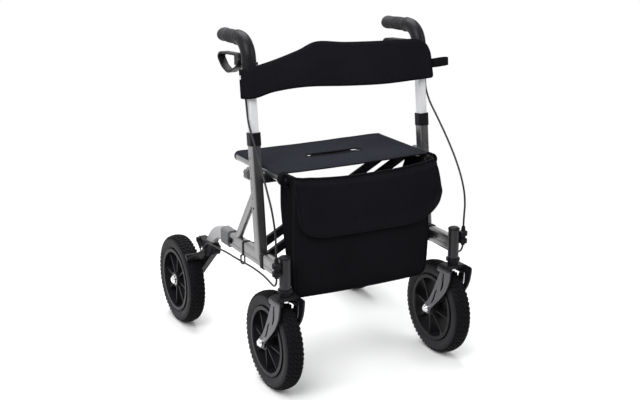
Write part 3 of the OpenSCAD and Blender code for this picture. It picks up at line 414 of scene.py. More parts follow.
@dataclass(frozen=True)
class Plastic(Finish):
    """Moulded plastic with a fine grain."""

    grain: float = 0.20
    ease: float = 0.0009
    gloss: float = 0.28

    def lay(self, tree: Tree) -> None:
        """Fine moulded grain, with slight changes of gloss.

        Args:
            tree: The material's node tree.
        """
        where = tree.coords(Space.OBJECT)
        cloud = tree.speckle(where, 22.0, 3.0)
        tone = tree.shades(cloud, [(0.3, scaled(self.colour, 0.88)), (0.75, scaled(self.colour, 1.14))])
        worn = tree.sum("MULTIPLY", tree.edges(self.ease), tree.span(cloud, 0.0, 0.7, 0.3, 0.7))
        pits = tree.add("TexVoronoi", {"Vector": where, "Scale": 1500.0}).outputs["Distance"]
        tree.finish(Base_Color=tree.tint(worn, tone, scaled(self.colour, 1.7)),
                    Normal=tree.relief(pits, self.grain, 0.0001, tree.eased(self.ease)),
                    Roughness=tree.span(cloud, self.roughness * 0.88, self.roughness * 1.14),
                    Specular_IOR_Level=self.gloss)


@dataclass(frozen=True)
class Rubber(Finish):
    """Soft matt rubber with a little cloudy dust."""

    dust: Colour = (0.045, 0.044, 0.042)
    dusty: float = 0.30
    gloss: float = 0.22

    def lay(self, tree: Tree) -> None:
        """Matt surface with cloudy dust and a fine pebble.

        Args:
            tree: The material's node tree.
        """
        where = tree.coords(Space.OBJECT)
        cloud = tree.speckle(where, 26.0, 5.0)
        dusted = tree.span(cloud, 0.0, self.dusty, 0.45, 0.80)
        pebble = tree.speckle(where, 900.0, 3.0)
        tree.finish(Base_Color=tree.tint(dusted, self.colour, self.dust),
                    Normal=tree.relief(pebble, 0.30, 0.0002, tree.eased(0.0006)),
                    Roughness=tree.span(cloud, self.roughness * 0.9, min(self.roughness * 1.12, 1.0)),
                    Specular_IOR_Level=self.gloss)


@dataclass(frozen=True)
class TyreRubber(Rubber):
    """Rubber of a tyre, whose tread is duller than its walls and darkened by painted shade, for the shade in
    its grooves.
    """

    tread_r: float = 0.1145
    ease: float = 0.0025
    # Share of the rubber's colour that the tread's painted shade leaves.
    tread_tone: float = 0.50
    tread_gloss: float = 0.07

    def lay(self, tree: Tree) -> None:
        """The rubber, with painted shade darkening it outside the tread's inner radius.

        Args:
            tree: The material's node tree.
        """
        super().lay(tree)
        place = tree.axes()
        ahead = tree.sum("SUBTRACT", tree.sum("ABSOLUTE", place["Y"]), AXLE_Y)
        above = tree.sum("SUBTRACT", place["Z"], WHEEL_R)
        spot = tree.add("CombineXYZ", {0: ahead, 1: above}).outputs["Vector"]
        away = tree.add("VectorMath", {0: spot}, operation="LENGTH").outputs["Value"]
        tread = tree.span(away, 0.0, 1.0, self.tread_r - self.ease, self.tread_r + self.ease)
        # Painted shade: the tread's colour is darkened for the shade in its grooves, and its gloss is
        # lowered.
        tree.finish(Base_Color=tree.tint(tread, tree.colour(), scaled(self.colour, self.tread_tone)),
                    Specular_IOR_Level=tree.span(tread, self.gloss, self.tread_gloss))


@dataclass(frozen=True)
class Plated(Finish):
    """Bright plated or satin metal, with faint draw lines."""

    lines: Place = (60.0, 60.0, 1200.0)

    def lay(self, tree: Tree) -> None:
        """Draw lines and cloudy gloss.

        Args:
            tree: The material's node tree.
        """
        where = tree.coords(Space.OBJECT)
        streak = tree.speckle(tree.coords(Space.OBJECT, self.lines), 1.0, 2.0)
        cloud = tree.speckle(where, 30.0, 3.0)
        tone = tree.shades(streak, [(0.3, scaled(self.colour, 0.93)), (0.7, self.colour)])
        tree.finish(Base_Color=tone, Metallic=1.0,
                    Normal=tree.relief(streak, 0.06, 0.0001, tree.eased(0.0006)),
                    Roughness=tree.span(cloud, self.roughness * 0.8, self.roughness * 1.25))


@dataclass(frozen=True)
class Cloth(Finish):
    """Woven cloth, whose threads follow the cut of the piece."""

    thread: float = 0.0011
    space: Space = Space.CUT
    sheen: float = 0.06
    relief: float = 0.55
    gloss: float = 0.0

    def lay(self, tree: Tree) -> None:
        """Plain weave of crossing threads, with slubs and faint creases.

        Args:
            tree: The material's node tree.
        """
        where = tree.coords(self.space)
        turns = 0.5 / self.thread
        wave = {"Vector": where, "Scale": turns / math.pi, "Distortion": 0.25, "Detail Scale": 2.0}
        across, along = (tree.add("TexWave", wave, bands_direction=way).outputs["Fac"] for way in "XY")
        check = tree.add("TexChecker", {"Vector": where, "Scale": turns}).outputs["Fac"]
        weave = tree.add("Mix", {0: check, 2: across, 3: along}, data_type="FLOAT").outputs[0]
        slub = tree.speckle(where, 120.0, 4.0)
        cloud = tree.speckle(tree.coords(Space.OBJECT), 9.0, 4.0)
        marks = tree.sum("ADD", tree.sum("MULTIPLY", slub, 0.25), tree.sum("MULTIPLY", cloud, 0.25))
        factor = tree.sum("ADD", tree.sum("MULTIPLY", weave, 0.5), marks)
        tone = tree.shades(factor, [(0.2, scaled(self.colour, 0.6)), (0.5, self.colour),
                                    (0.85, scaled(self.colour, 1.5))])
        creases = tree.relief(cloud, 0.25, 0.004)
        tree.finish(Base_Color=tone, Roughness=tree.span(slub, self.roughness * 0.92, self.roughness),
                    Normal=tree.relief(weave, self.relief, self.thread * 0.35, creases),
                    Sheen_Weight=self.sheen, Sheen_Roughness=0.45, Specular_IOR_Level=self.gloss)


class Finishes(Enum):
    """The finishes of the rollator: one for each material slot, by its name, and three more."""

    FRAME_GREY = Paint("frame_grey_paint", (0.265, 0.265, 0.268), 0.28, metallic=0.94)
    FRAME_DARK = Paint("frame_dark_paint", (0.032, 0.032, 0.034), 0.40, metallic=0.7)
    TUBE_SILVER = Paint("handle_tube_satin", (0.80, 0.80, 0.815), 0.42, metallic=0.25, flake=0.04, rub=1.1)
    # The fork's paint, with painted shade on its inner faces and crown.
    FORK_GREY = PaintWithPaintedShade("fork_paint_with_painted_shade", (0.108, 0.107, 0.114), 0.40, metallic=0.75, coat=0.03)
    CAST_BLACK = Paint("cast_black_coat", (0.0085, 0.0085, 0.010), 0.48, metallic=0.0, rub=2.4, coat=0.0,
                       gloss=0.16)
    ELBOW_GREY = Plastic("elbow_charcoal", (0.012, 0.012, 0.0148), 0.34, grain=0.10, gloss=0.13)
    COLLAR_GREY = Plastic("collar_moulding", (0.145, 0.146, 0.152), 0.42)
    KNOB_GREY = Plastic("knob_moulding", (0.105, 0.105, 0.109), 0.44)
    BLACK_PLASTIC = Plastic("black_moulding", (0.0075, 0.0075, 0.0090), 0.42, gloss=0.14)
    GRIP_RUBBER = Rubber("grip_rubber", (0.026, 0.026, 0.029), 0.62, dusty=0.12)
    CABLE_SHEATH = Plastic("cable_sheath", (0.016, 0.016, 0.018), 0.38, grain=0.05)
    BRIGHT_STEEL = Plated("bright_plating", (0.83, 0.835, 0.84), 0.16)
    RIM_BLACK = Plastic("rim_black", (0.011, 0.011, 0.0125), 0.40, grain=0.12, gloss=0.15)
    # Tyre rubber with painted shade on its tread.
    TYRE_BLACK = TyreRubber("tyre_rubber_with_painted_shade", (0.0155, 0.0152, 0.0175), 0.65, dusty=0.22, gloss=0.24)
    SEAT_CLOTH = Cloth("seat_weave", (0.022, 0.0235, 0.029), 0.85, sheen=0.0)
    BAG_CLOTH = Cloth("bag_weave", (0.0097, 0.0093, 0.0115), 0.92, sheen=0.0)
    BAND_CLOTH = Cloth("band_weave", (0.0105, 0.0101, 0.0132), 0.9, thread=0.0009, sheen=0.0)
    WEBBING = Cloth("webbing", (0.008, 0.008, 0.009), 0.85, thread=0.0016, relief=0.8, sheen=0.02)
    REAR_SILVER = Paint("rear_tube_silver", (0.44, 0.441, 0.45), 0.32, metallic=0.9, rub=1.1)
    PIPING = Cloth("piping", (0.0085, 0.0083, 0.0105), 0.7, thread=0.0008, space=Space.OBJECT)
    THREAD = Cloth("thread", (0.016, 0.016, 0.02), 0.7, thread=0.0006, space=Space.OBJECT)


class Bench:
    """Mesh steps that the sub-assemblies share."""

    @staticmethod
    def clear() -> None:
        """Leaves edit mode and deselects everything."""
        if bpy.context.mode != "OBJECT":
            bpy.ops.object.mode_set(mode="OBJECT")
        bpy.ops.object.select_all(action="DESELECT")

    @classmethod
    def pick(cls, *pieces: Piece) -> None:
        """Selects these pieces alone, the first one active.

        Args:
            *pieces: The pieces.
        """
        cls.clear()
        for piece in pieces:
            piece.select_set(True)
        bpy.context.view_layer.objects.active = pieces[0]

    @classmethod
    def mesh(cls, name: str, points: Sequence[Vector], faces: Sequence[Sequence[int]],
             cut: Sequence[tuple[float, float]] | None = None) -> Piece:
        """Mesh object from points and faces.

        Args:
            name: The piece's name.
            points: Its points in the frame.
            faces: Its faces, as numbers of points.
            cut: Place of each point on the flat cut, in metres.

        Returns:
            The object.
        """
        data = bpy.data.meshes.new(name)
        data.from_pydata([tuple(p) for p in points], [], [tuple(f) for f in faces])
        if cut is not None:
            layer = data.uv_layers.new(name="cut")
            for loop in data.loops:
                layer.data[loop.index].uv = cut[loop.vertex_index]
        data.update()
        piece = bpy.data.objects.new(name, data)
        bpy.context.scene.collection.objects.link(piece)
        return piece

    @classmethod
    def sheet(cls, name: str, columns: int, rows: int, size: tuple[float, float],
              place: Callable[[float, float], Vector]) -> Piece:
        """Sheet of quads.

        Args:
            name: The piece's name.
            columns: Number of quads across.
            rows: Number of quads along.
            size: Width and length of the flat cut.
            place: Gives the point at two shares from 0 to 1, across and along.

        Returns:
            The object, one face thick.
        """
        points, cut, faces = [], [], []
        for j in range(rows + 1):
            for i in range(columns + 1):
                points.append(place(i / columns, j / rows))
                cut.append((size[0] * i / columns, size[1] * j / rows))
        for j in range(rows):
            for i in range(columns):
                k = j * (columns + 1) + i
                faces.append((k, k + 1, k + columns + 2, k + columns + 1))
        return cls.mesh(name, points, faces, cut)

    @staticmethod
    def ring_faces(rings: int, n: int, closed: bool = False) -> list[tuple[int, ...]]:
        """Faces between rings of points that follow one another.

        Args:
            rings: Number of rings.
            n: Number of points in each one.
            closed: Whether the last ring joins the first.

        Returns:
            The faces, as numbers of points.
        """
        faces = []
        for i in range(rings if closed else rings - 1):
            a, b = i * n, (i + 1) % rings * n
            faces += [(a + k, a + (k + 1) % n, b + (k + 1) % n, b + k) for k in range(n)]
        return faces

    @classmethod
    def sweep(cls, name: str, path: Sequence[Vector], section: Sequence[tuple[float, float]],
              side: Vector | None = None, closed: bool = False) -> Piece:
        """Bar with one section, swept along a path.

        Args:
            name: The piece's name.
            path: Points of the path.
            section: Outline of the section, along the side direction and square to it.
            side: Direction that the section's first axis keeps to, or None to turn as little as possible.
            closed: Whether the path's end joins its start.

        Returns:
            The object, closed at its ends.
        """
        count, n = len(path), len(section)
        points, cut = [], []
        normal = side
        run = 0.0
        for i, here in enumerate(path):
            after = path[(i + 1) % count] if closed or i < count - 1 else here
            before = path[i - 1] if closed or i else here
            tangent = (after - before).normalized()
            if side is None and normal is None:
                normal = tangent.orthogonal()
            base = side if side is not None else normal
            normal = (base - tangent * base.dot(tangent)).normalized()
            square = tangent.cross(normal)
            run += (here - before).length if i else 0.0
            around = 0.0
            for k, (a, b) in enumerate(section):
                points.append(here + normal * a + square * b)
                if k:
                    around += math.hypot(a - section[k - 1][0], b - section[k - 1][1])
                cut.append((around, run))
        faces = cls.ring_faces(count, n, closed)
        if not closed:
            faces.append(tuple(range(n - 1, -1, -1)))
            faces.append(tuple((count - 1) * n + k for k in range(n)))
        piece = cls.mesh(name, points, faces, cut)
        cls.outward(piece)
        return piece

    @classmethod
    def tube(cls, name: str, path: Sequence[Vector], radius: float, sides: int = 12,
             closed: bool = False) -> Piece:
        """Round bar along a path.

        Args:
            name: The piece's name.
            path: Points of its middle line.
            radius: Its radius.
            sides: Number of its sides.
            closed: Whether the path's end joins its start.

        Returns:
            The object.
        """
        ring = [(radius * math.cos(2 * math.pi * k / sides), radius * math.sin(2 * math.pi * k / sides))
                for k in range(sides)]
        return cls.smoothed(cls.sweep(name, path, ring, None, closed), 50.0)

    @classmethod
    def ribbon(cls, name: str, path: Sequence[Vector], width: float, thickness: float, side: Vector,
               closed: bool = False) -> Piece:
        """Flat strap along a path, its width along the side direction and its edges rounded.

        Args:
            name: The piece's name.
            path: Points of its middle line.
            width: Its width.
            thickness: Its thickness.
            side: Direction of its width.
            closed: Whether the path's end joins its start.

        Returns:
            The object.
        """
        w, t = width / 2, thickness / 2
        section = [(-w, -t * 0.4), (-w + t, -t), (-w * 0.3, -t), (w * 0.3, -t), (w - t, -t), (w, -t * 0.4),
                   (w, t * 0.4), (w - t, t), (w * 0.3, t), (-w * 0.3, t), (-w + t, t), (-w, t * 0.4)]
        return cls.smoothed(cls.sweep(name, path, section, side, closed), 40.0)

    @classmethod
    def stitches(cls, name: str, path: Sequence[Vector], pitch: float = 0.0045,
                 length: float = 0.0032, radius: float = 0.00045) -> Piece:
        """Row of sewn stitches along a path, all in one mesh.

        Args:
            name: The piece's name.
            path: Points of the row.
            pitch: Distance from stitch to stitch.
            length: Length of a stitch.
            radius: The thread's radius.

        Returns:
            The object.
        """
        points, faces = [], []
        total, target = 0.0, pitch / 2
        for a, b in zip(path, path[1:]):
            step = (b - a).length
            while step and target <= total + step:
                middle = a.lerp(b, (target - total) / step)
                tangent = (b - a).normalized()
                normal = tangent.orthogonal().normalized()
                square = tangent.cross(normal)
                k = len(points)
                points.append(middle - tangent * length / 2)
                for offset in (-length * 0.3, length * 0.3):
                    for turn in range(4):
                        angle = math.pi / 2 * turn
                        points.append(middle + tangent * offset
                                      + (normal * math.cos(angle) + square * math.sin(angle)) * radius)
                points.append(middle + tangent * length / 2)
                for turn in range(4):
                    after = (turn + 1) % 4
                    faces += [(k, k + 1 + after, k + 1 + turn),
                              (k + 1 + turn, k + 1 + after, k + 5 + after, k + 5 + turn),
                              (k + 5 + turn, k + 5 + after, k + 9)]
                target += pitch
            total += step
        piece = cls.mesh(name, points, faces)
        cls.outward(piece)
        return cls.smoothed(piece, 80.0)

    @classmethod
    def outward(cls, piece: Piece, merge: float = 0.0) -> None:
        """Turns a piece's faces outwards, after merging points closer than a distance.

        Args:
            piece: The piece.
            merge: The distance, or 0 to merge nothing.
        """
        cls.pick(piece)
        bpy.ops.object.mode_set(mode="EDIT")
        bpy.ops.mesh.select_all(action="SELECT")
        if merge:
            bpy.ops.mesh.remove_doubles(threshold=merge)
        bpy.ops.mesh.normals_make_consistent(inside=False)
        bpy.ops.object.mode_set(mode="OBJECT")

    @classmethod
    def smoothed(cls, piece: Piece, angle: float) -> Piece:
        """Shades a piece smooth up to an angle in degrees, and gives it back.

        Args:
            piece: The piece.
            angle: The angle.

        Returns:
            The piece.
        """
        cls.pick(piece)
        bpy.ops.object.shade_smooth_by_angle(angle=math.radians(angle))
        return piece

    @classmethod
    def modify(cls, piece: Piece, kind: str, **settings: object) -> Piece:
        """Adds a modifier, applies it and gives the piece back.

        Args:
            piece: The piece.
            kind: The modifier's type.
            **settings: Its settings.

        Returns:
            The piece.
        """
        cls.pick(piece)
        modifier = piece.modifiers.new(kind.lower(), kind)
        for key, value in settings.items():
            setattr(modifier, key, value)
        bpy.ops.object.modifier_apply(modifier=modifier.name)
        return piece

    @classmethod
    def thicken(cls, piece: Piece, thickness: float, offset: float = 0.0) -> Piece:
        """Gives a sheet its thickness."""
        return cls.modify(piece, "SOLIDIFY", thickness=thickness, offset=offset, use_even_offset=True)

    @classmethod
    def join(cls, name: str, pieces: Sequence[Piece]) -> Piece:
        """Joins pieces into the first one.

        Args:
            name: Name of the joined piece.
            pieces: The pieces.

        Returns:
            The joined piece.
        """
        cls.pick(*pieces)
        if len(pieces) > 1:
            bpy.ops.object.join()
        piece = pieces[0]
        piece.name = name
        piece.data.name = name
        return piece

    @staticmethod
    def paint(piece: Piece, finish: Finishes) -> None:
        """Gives a piece a finish in place of what it has."""
        piece.data.materials.clear()
        piece.data.materials.append(finish.value.material())

    @classmethod
    def dress(cls, piece: Piece, slot: str, body: str | None, nodes: Iterable[str] = (),
              finish: Finishes | None = None) -> Piece:
        """Gives a piece its slot, finish and body.

        Args:
            piece: The piece.
            slot: The record's material slot.
            body: The body it rides on, or None to put it on no body.
            nodes: Nodes that it stands for.
            finish: Its finish, where it isn't the slot's own one.

        Returns:
            The piece.
        """
        cls.paint(piece, finish or Finishes[slot.upper()])
        if body is not None:
            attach(piece, body)
        if nodes:
            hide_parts(*nodes)
        LOG.info("%s: %d faces", piece.name, len(piece.data.polygons))
        return piece


class Pick(Enum):
    """What an edit step selects."""

    VERTEX = "VERT"
    FACE = "FACE"


class Hand:
    """Steps of modelling by hand in edit mode, and the shares of a button's radius that shape it."""

    rim_share = 0.34
    step_share = 0.10
    edge_share = 0.12

    @staticmethod
    def choose(piece: Piece, kind: Pick, test: Callable[[object], bool]) -> None:
        """Goes into edit mode with some of a piece's points or faces selected.

        Args:
            piece: The piece.
            kind: Whether points or faces are selected.
            test: Says which ones.
        """
        bpy.context.view_layer.objects.active = piece
        bpy.ops.object.mode_set(mode="EDIT")
        bpy.ops.mesh.select_mode(type=kind.value)
        bpy.ops.mesh.select_all(action="DESELECT")
        bpy.ops.object.mode_set(mode="OBJECT")
        for item in piece.data.vertices if kind is Pick.VERTEX else piece.data.polygons:
            item.select = test(item)
        bpy.ops.object.mode_set(mode="EDIT")

    @staticmethod
    def settle(name: str) -> Piece:
        """Names a new primitive and puts its place into its mesh.

        Args:
            name: The name.

        Returns:
            The object.
        """
        bpy.ops.object.transform_apply(location=True, rotation=True, scale=True)
        piece = bpy.context.object
        piece.name = name
        piece.data.name = name
        return piece

    @staticmethod
    def copied(piece: Piece, name: str, move: Vector) -> Piece:
        """Copy of a piece with its own mesh, moved.

        Args:
            piece: The piece.
            name: The copy's name.
            move: The move.

        Returns:
            The copy.
        """
        Bench.pick(piece)
        bpy.ops.object.duplicate(linked=False)
        bpy.ops.transform.translate(value=move)
        return Hand.settle(name)

    @classmethod
    def button(cls, name: str, place: Vector, axis: Vector, radius: float, depth: float, sides: int = 24,
               dish: float = 0.0) -> Piece:
        """Round or many-sided head with an eased edge and a raised or dished middle.

        Args:
            name: The piece's name.
            place: Middle of its foot.
            axis: Direction that it stands out in.
            radius: Its radius.
            depth: Its height.
            sides: Number of its sides.
            dish: How far the middle lies below the rim, or above it if negative.

        Returns:
            The object.
        """
        out = axis.normalized()
        Bench.clear()
        bpy.ops.mesh.primitive_cylinder_add(vertices=sides, radius=radius, depth=depth,
                                            location=place + out * depth / 2,
                                            rotation=out.to_track_quat("Z", "Y").to_euler())
        piece = cls.settle(name)
        top = place + out * depth
        cls.choose(piece, Pick.FACE, lambda f: (Vector(f.center) - top).length < 1e-5)
        bpy.ops.mesh.inset(thickness=radius * cls.rim_share, depth=0.0)
        bpy.ops.mesh.inset(thickness=radius * cls.step_share, depth=-dish)
        bpy.ops.object.mode_set(mode="OBJECT")
        Bench.modify(piece, "BEVEL", width=min(radius, depth) * cls.edge_share, segments=2,
                     limit_method="ANGLE")
        return Bench.smoothed(piece, 40.0)


@dataclass
class Studio:
    """Camera, floor and light."""

    place: Place = (-1.4020, -2.6547, 1.2641)
    turn: Place = (73.662, 0.0, -28.276)
    lens: float = 65.37
    floor_half: float = 9.0
    floor_front: float = 1.45
    bright_way: Place = (-0.55, 0.80, 0.25)
    dim_front: Colour = (0.08, 0.08, 0.085)
    ambient: Colour = (0.98, 0.99, 1.0)
    ambient_level: float = 0.50
    lamps: tuple[tuple[str, Place, Place, float, float], ...] = (
        ("key_lamp", (-1.9, -1.6, 2.9), (0.0, 0.0, 0.45), 2.2, 90.0),
        ("fill_lamp", (2.3, -2.0, 1.9), (0.0, 0.0, 0.45), 2.0, 26.0),
        ("top_lamp", (0.2, 0.9, 3.1), (0.0, 0.0, 0.3), 2.4, 80.0))

    def build(self) -> None:
        """Sets up everything round the object."""
        bpy.context.scene.view_settings.view_transform = "Standard"
        self.camera()
        self.floor()
        self.world()
        for lamp in self.lamps:
            self.lamp(*lamp)

    def camera(self) -> None:
        """Camera at the photograph's viewing angle."""
        data = bpy.data.cameras.new("camera")
        data.lens = self.lens
        data.sensor_width = 36.0
        data.sensor_fit = "HORIZONTAL"
        item = bpy.data.objects.new("camera", data)
        item.location = self.place
        item.rotation_euler = [math.radians(a) for a in self.turn]
        bpy.context.scene.collection.objects.link(item)
        bpy.context.scene.camera = item

    def floor(self) -> None:
        """Pale floor that fades to white away from the object and keeps its shadow."""
        h, front = self.floor_half, -self.floor_front
        corners = [Vector((-h, front, 0)), Vector((h, front, 0)), Vector((h, h, 0)), Vector((-h, h, 0))]
        piece = Bench.mesh("floor", corners, [(0, 1, 2, 3)])
        tree = Tree(bpy.data.materials.new("floor_white"))
        where = tree.coords(Space.OBJECT)
        reach = tree.add("VectorMath", {0: where}, operation="LENGTH").outputs["Value"]
        path = tree.add("LightPath").outputs
        shown = tree.sum("MAXIMUM", path["Is Glossy Ray"], path["Is Transmission Ray"])
        seen = tree.sum("MAXIMUM", path["Is Camera Ray"], shown)
        fade = tree.sum("MULTIPLY", seen, tree.span(reach, 0.0, 1.0, 0.62, 1.20))
        pale = tree.shades(tree.speckle(where, 3.0, 2.0), [(0.2, (0.96,) * 3), (0.8, (0.975,) * 3)])
        tree.finish(Base_Color=pale, Roughness=0.9, Specular_IOR_Level=0.1)
        white = tree.add("Emission", {"Color": (1.0, 1.0, 1.0, 1.0), "Strength": 1.0}).outputs["Emission"]
        blend = tree.add("MixShader", {0: fade, 1: tree.shader.outputs["BSDF"], 2: white})
        tree.links.new(blend.outputs["Shader"], tree.nodes["Material Output"].inputs["Surface"])
        piece.data.materials.append(tree.owner)
        piece.visible_diffuse = False

    def world(self) -> None:
        """White surroundings: bright behind and to the left, dimmer in front for what shines."""
        bpy.context.scene.world = bpy.data.worlds.new("studio")
        tree = Tree(bpy.context.scene.world)
        tree.nodes.clear()

        def sky(colour: Socket | tuple[float, ...], level: float = 1.0) -> Socket:
            """Background of one colour or of a grade."""
            return tree.add("Background", {"Color": colour, "Strength": level}).outputs["Background"]

        path = tree.add("LightPath").outputs
        way = tree.add("TexCoord").outputs["Generated"]
        toward = tree.add("VectorMath", {0: way, 1: self.bright_way}, operation="DOT_PRODUCT")
        share = tree.span(toward.outputs["Value"], 0.0, 1.0, -1.0, 1.0)
        shine = sky(tree.shades(share, [(0.25, self.dim_front), (0.75, (1.0, 1.0, 1.0))]))
        ambient = sky((*self.ambient, 1.0), self.ambient_level)
        glossy = tree.add("MixShader", {0: path["Is Glossy Ray"], 1: ambient, 2: shine}).outputs["Shader"]
        through = tree.sum("MAXIMUM", path["Is Camera Ray"], path["Is Transmission Ray"])
        seen = tree.add("MixShader", {0: through, 1: glossy, 2: sky((1.0, 1.0, 1.0, 1.0))})
        tree.add("OutputWorld", {"Surface": seen.outputs["Shader"]})

    def lamp(self, name: str, place: Place, target: Place, size: float, power: float) -> None:
        """Square area lamp aimed at a point.

        Args:
            name: The lamp's name.
            place: Where it stands.
            target: The point it looks at.
            size: Length of its side.
            power: Its power in watts.
        """
        data = bpy.data.lights.new(name, "AREA")
        data.size = size
        data.energy = power
        item = bpy.data.objects.new(name, data)
        item.location = place
        item.rotation_euler = (Vector(target) - Vector(place)).to_track_quat("-Z", "Y").to_euler()
        bpy.context.scene.collection.objects.link(item)


@dataclass
class SolidNodes:
    """The solids that keep their shape and take a finish."""

    special: tuple[tuple[str, Finishes], ...] = (
        ("rear_tube", Finishes.REAR_SILVER), ("seat_tube", Finishes.FRAME_GREY))

    def dress(self) -> None:
        """Gives every solid the finish of its slot, or its own one."""
        slots = {s["node"]: s["material_slot"] for s in frame["record"]["subparts"]}
        own = dict(self.special)
        for name, node in frame["nodes"].items():
            Bench.paint(node, own.get(name.split("_", 1)[-1], Finishes[slots[name].upper()]))
        LOG.info("%d solids dressed", len(frame["nodes"]))


@dataclass
class BrakeCable:
    """Outer cable from the handle's elbow down to the rear leg, on one side."""

    side: Side
    radius: float = 0.0025
    sides: int = 12
    steps: int = 5
    bend_foot: int = 8
    route: tuple[Place, ...] = (
        (0.256, -0.146, 0.736), (0.257, -0.149, 0.715), (0.257, -0.154, 0.690), (0.260, -0.168, 0.660),
        (0.263, -0.194, 0.630), (0.265, -0.222, 0.600), (0.267, -0.248, 0.570), (0.269, -0.271, 0.540),
        (0.270, -0.292, 0.510), (0.270, -0.310, 0.480), (0.270, -0.322, 0.450), (0.269, -0.328, 0.420),
        (0.268, -0.328, 0.395), (0.267, -0.328, 0.365), (0.267, -0.328, 0.335), (0.267, -0.328, 0.312),
        (0.266, -0.322, 0.296), (0.264, -0.306, 0.286), (0.260, -0.280, 0.284), (0.257, -0.250, 0.286),
        (0.256, -0.210, 0.288), (0.255, -0.160, 0.287), (0.255, -0.110, 0.284), (0.255, -0.060, 0.281),
        (0.255, -0.010, 0.279), (0.257, 0.040, 0.276), (0.259, 0.080, 0.274), (0.259, 0.108, 0.270),
        (0.259, 0.125, 0.260), (0.259, 0.140, 0.245))

    def build(self) -> None:
        path = curve_through([self.side.at(*p) for p in self.route], self.steps)
        prefix = self.side.prefix
        cable = Bench.tube(prefix + "cable", path, self.radius, self.sides)
        Bench.dress(cable, "cable_sheath", None, [prefix + "brake_cable"])
        foot, top = (tuple(self.side.at(*self.route[k])) for k in (self.bend_foot, 0))
        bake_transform(cable)
        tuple(foot)
        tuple(top)
        tuple(path[0])
        path_length(path)
        [tuple(p) for p in path]


@dataclass
class Tyres:
    """Air-type tyres with rows of raised tread blocks, one on each wheel."""

    segments: int = 174
    rows: int = 32
    ring_r: float = 0.1034
    wall_r: float = 0.0179
    block_h: float = 0.0027
    block_slope: float = 0.0008
    sweep: float = math.radians(7.0)
    half_section: tuple[tuple[float, float], ...] = (
        (0.0, 0.1222), (0.0028, 0.1222), (0.0080, 0.1218), (0.0104, 0.1213), (0.0160, 0.1193),
        (0.0203, 0.1156), (0.0225, 0.1116), (0.0231, 0.1086), (0.0236, 0.1074), (0.0236, 0.1058),
        (0.0231, 0.1046), (0.0229, 0.0990), (0.0218, 0.0940), (0.0197, 0.0900), (0.0160, 0.0872),
        (0.0085, 0.0858), (0.0, 0.0855))
    shoulder: int = 5

    def build(self) -> None:
        """Shapes one tyre, copies it to the other wheels and dresses all four."""
        hubs = [(side.prefix + wheel, side.at(x, y, WHEEL_R)) for side in Side
                for wheel, x, y in (("front", FRAME_X, -AXLE_Y), ("rear", REAR_X, AXLE_Y))]
        name, hub = hubs[0]
        tyres = [self.shape(name + "_treaded_tyre", hub)]
        tyres += [Hand.copied(tyres[0], other + "_treaded_tyre", spot - hub) for other, spot in hubs[1:]]
        for tyre, (wheel, _) in zip(tyres, hubs):
            Bench.dress(tyre, "tyre_black", wheel + "_wheel", [wheel + "_tyre"])

    def shape(self, name: str, hub: Vector) -> Piece:
        """One tyre round a wheel's middle.

        Args:
            name: The tyre's name.
            hub: The wheel's middle.

        Returns:
            The object.
        """
        Bench.clear()
        bpy.ops.mesh.primitive_torus_add(location=hub, rotation=(0.0, math.pi / 2, 0.0),
                                         major_segments=self.segments, minor_segments=self.rows,
                                         major_radius=self.ring_r, minor_radius=self.wall_r)
        tyre = Hand.settle(name)
        for row in range(self.rows):
            self.shape_row(tyre, hub, row)
        bpy.ops.object.mode_set(mode="OBJECT")
        for spots in self.block_faces(tyre):
            Hand.choose(tyre, Pick.FACE, lambda f: self.spot(f.center) in spots)
            bpy.ops.mesh.inset(thickness=self.block_slope, depth=self.block_h)
        bpy.ops.object.mode_set(mode="OBJECT")
        Bench.outward(tyre, 1e-6)
        return Bench.smoothed(tyre, 28.0)

    def shape_row(self, tyre: Piece, hub: Vector, row: int) -> None:
        """Brings one round of points to the section, swept forward towards the shoulders.

        Args:
            tyre: The tyre.
            hub: The wheel's middle.
            row: Number of the round.
        """
        angle = 2 * math.pi * row / self.rows
        x, r = self.half_section[min(row, self.rows - row)]
        across = self.wall_r * abs(math.sin(angle))
        widen = x / across if across > 1e-5 else 1.0
        spread = r / (self.ring_r + self.wall_r * math.cos(angle))
        Hand.choose(tyre, Pick.VERTEX, lambda v: v.index % self.rows == row)
        bpy.ops.transform.resize(value=(widen, spread, spread), center_override=hub)
        share = min(x / self.half_section[self.shoulder][0], 1.0)
        bpy.ops.transform.rotate(value=self.sweep * share, orient_axis="X", center_override=hub)

    def block_faces(self, tyre: Piece) -> tuple[set[Place], set[Place]]:
        """Middles of the faces that become blocks, in two lots that don't touch each other's kind.

        Args:
            tyre: The tyre, before its blocks are raised.

        Returns:
            The two lots.
        """
        first, second = set(), set()
        for face in tyre.data.polygons:
            turns = [v // self.rows for v in face.vertices]
            rows = [v % self.rows for v in face.vertices]
            cell = (max(turns) if max(turns) - min(turns) > 1 else min(turns)) % 3
            row = max(rows) if max(rows) - min(rows) > 1 else min(rows)
            if row in (3, 4) and cell != 2 or row in (27, 28) and cell != 1:
                first.add(self.spot(face.center))
            elif row in (0, 1) and cell != 0:
                first.add(self.spot(face.center))
            elif row in (30, 31) and cell != 2:
                second.add(self.spot(face.center))
        return first, second

    @staticmethod
    def spot(middle: Vector) -> Place:
        """Middle of a face, rounded so that it can be found again."""
        return tuple(round(part, 5) for part in middle)


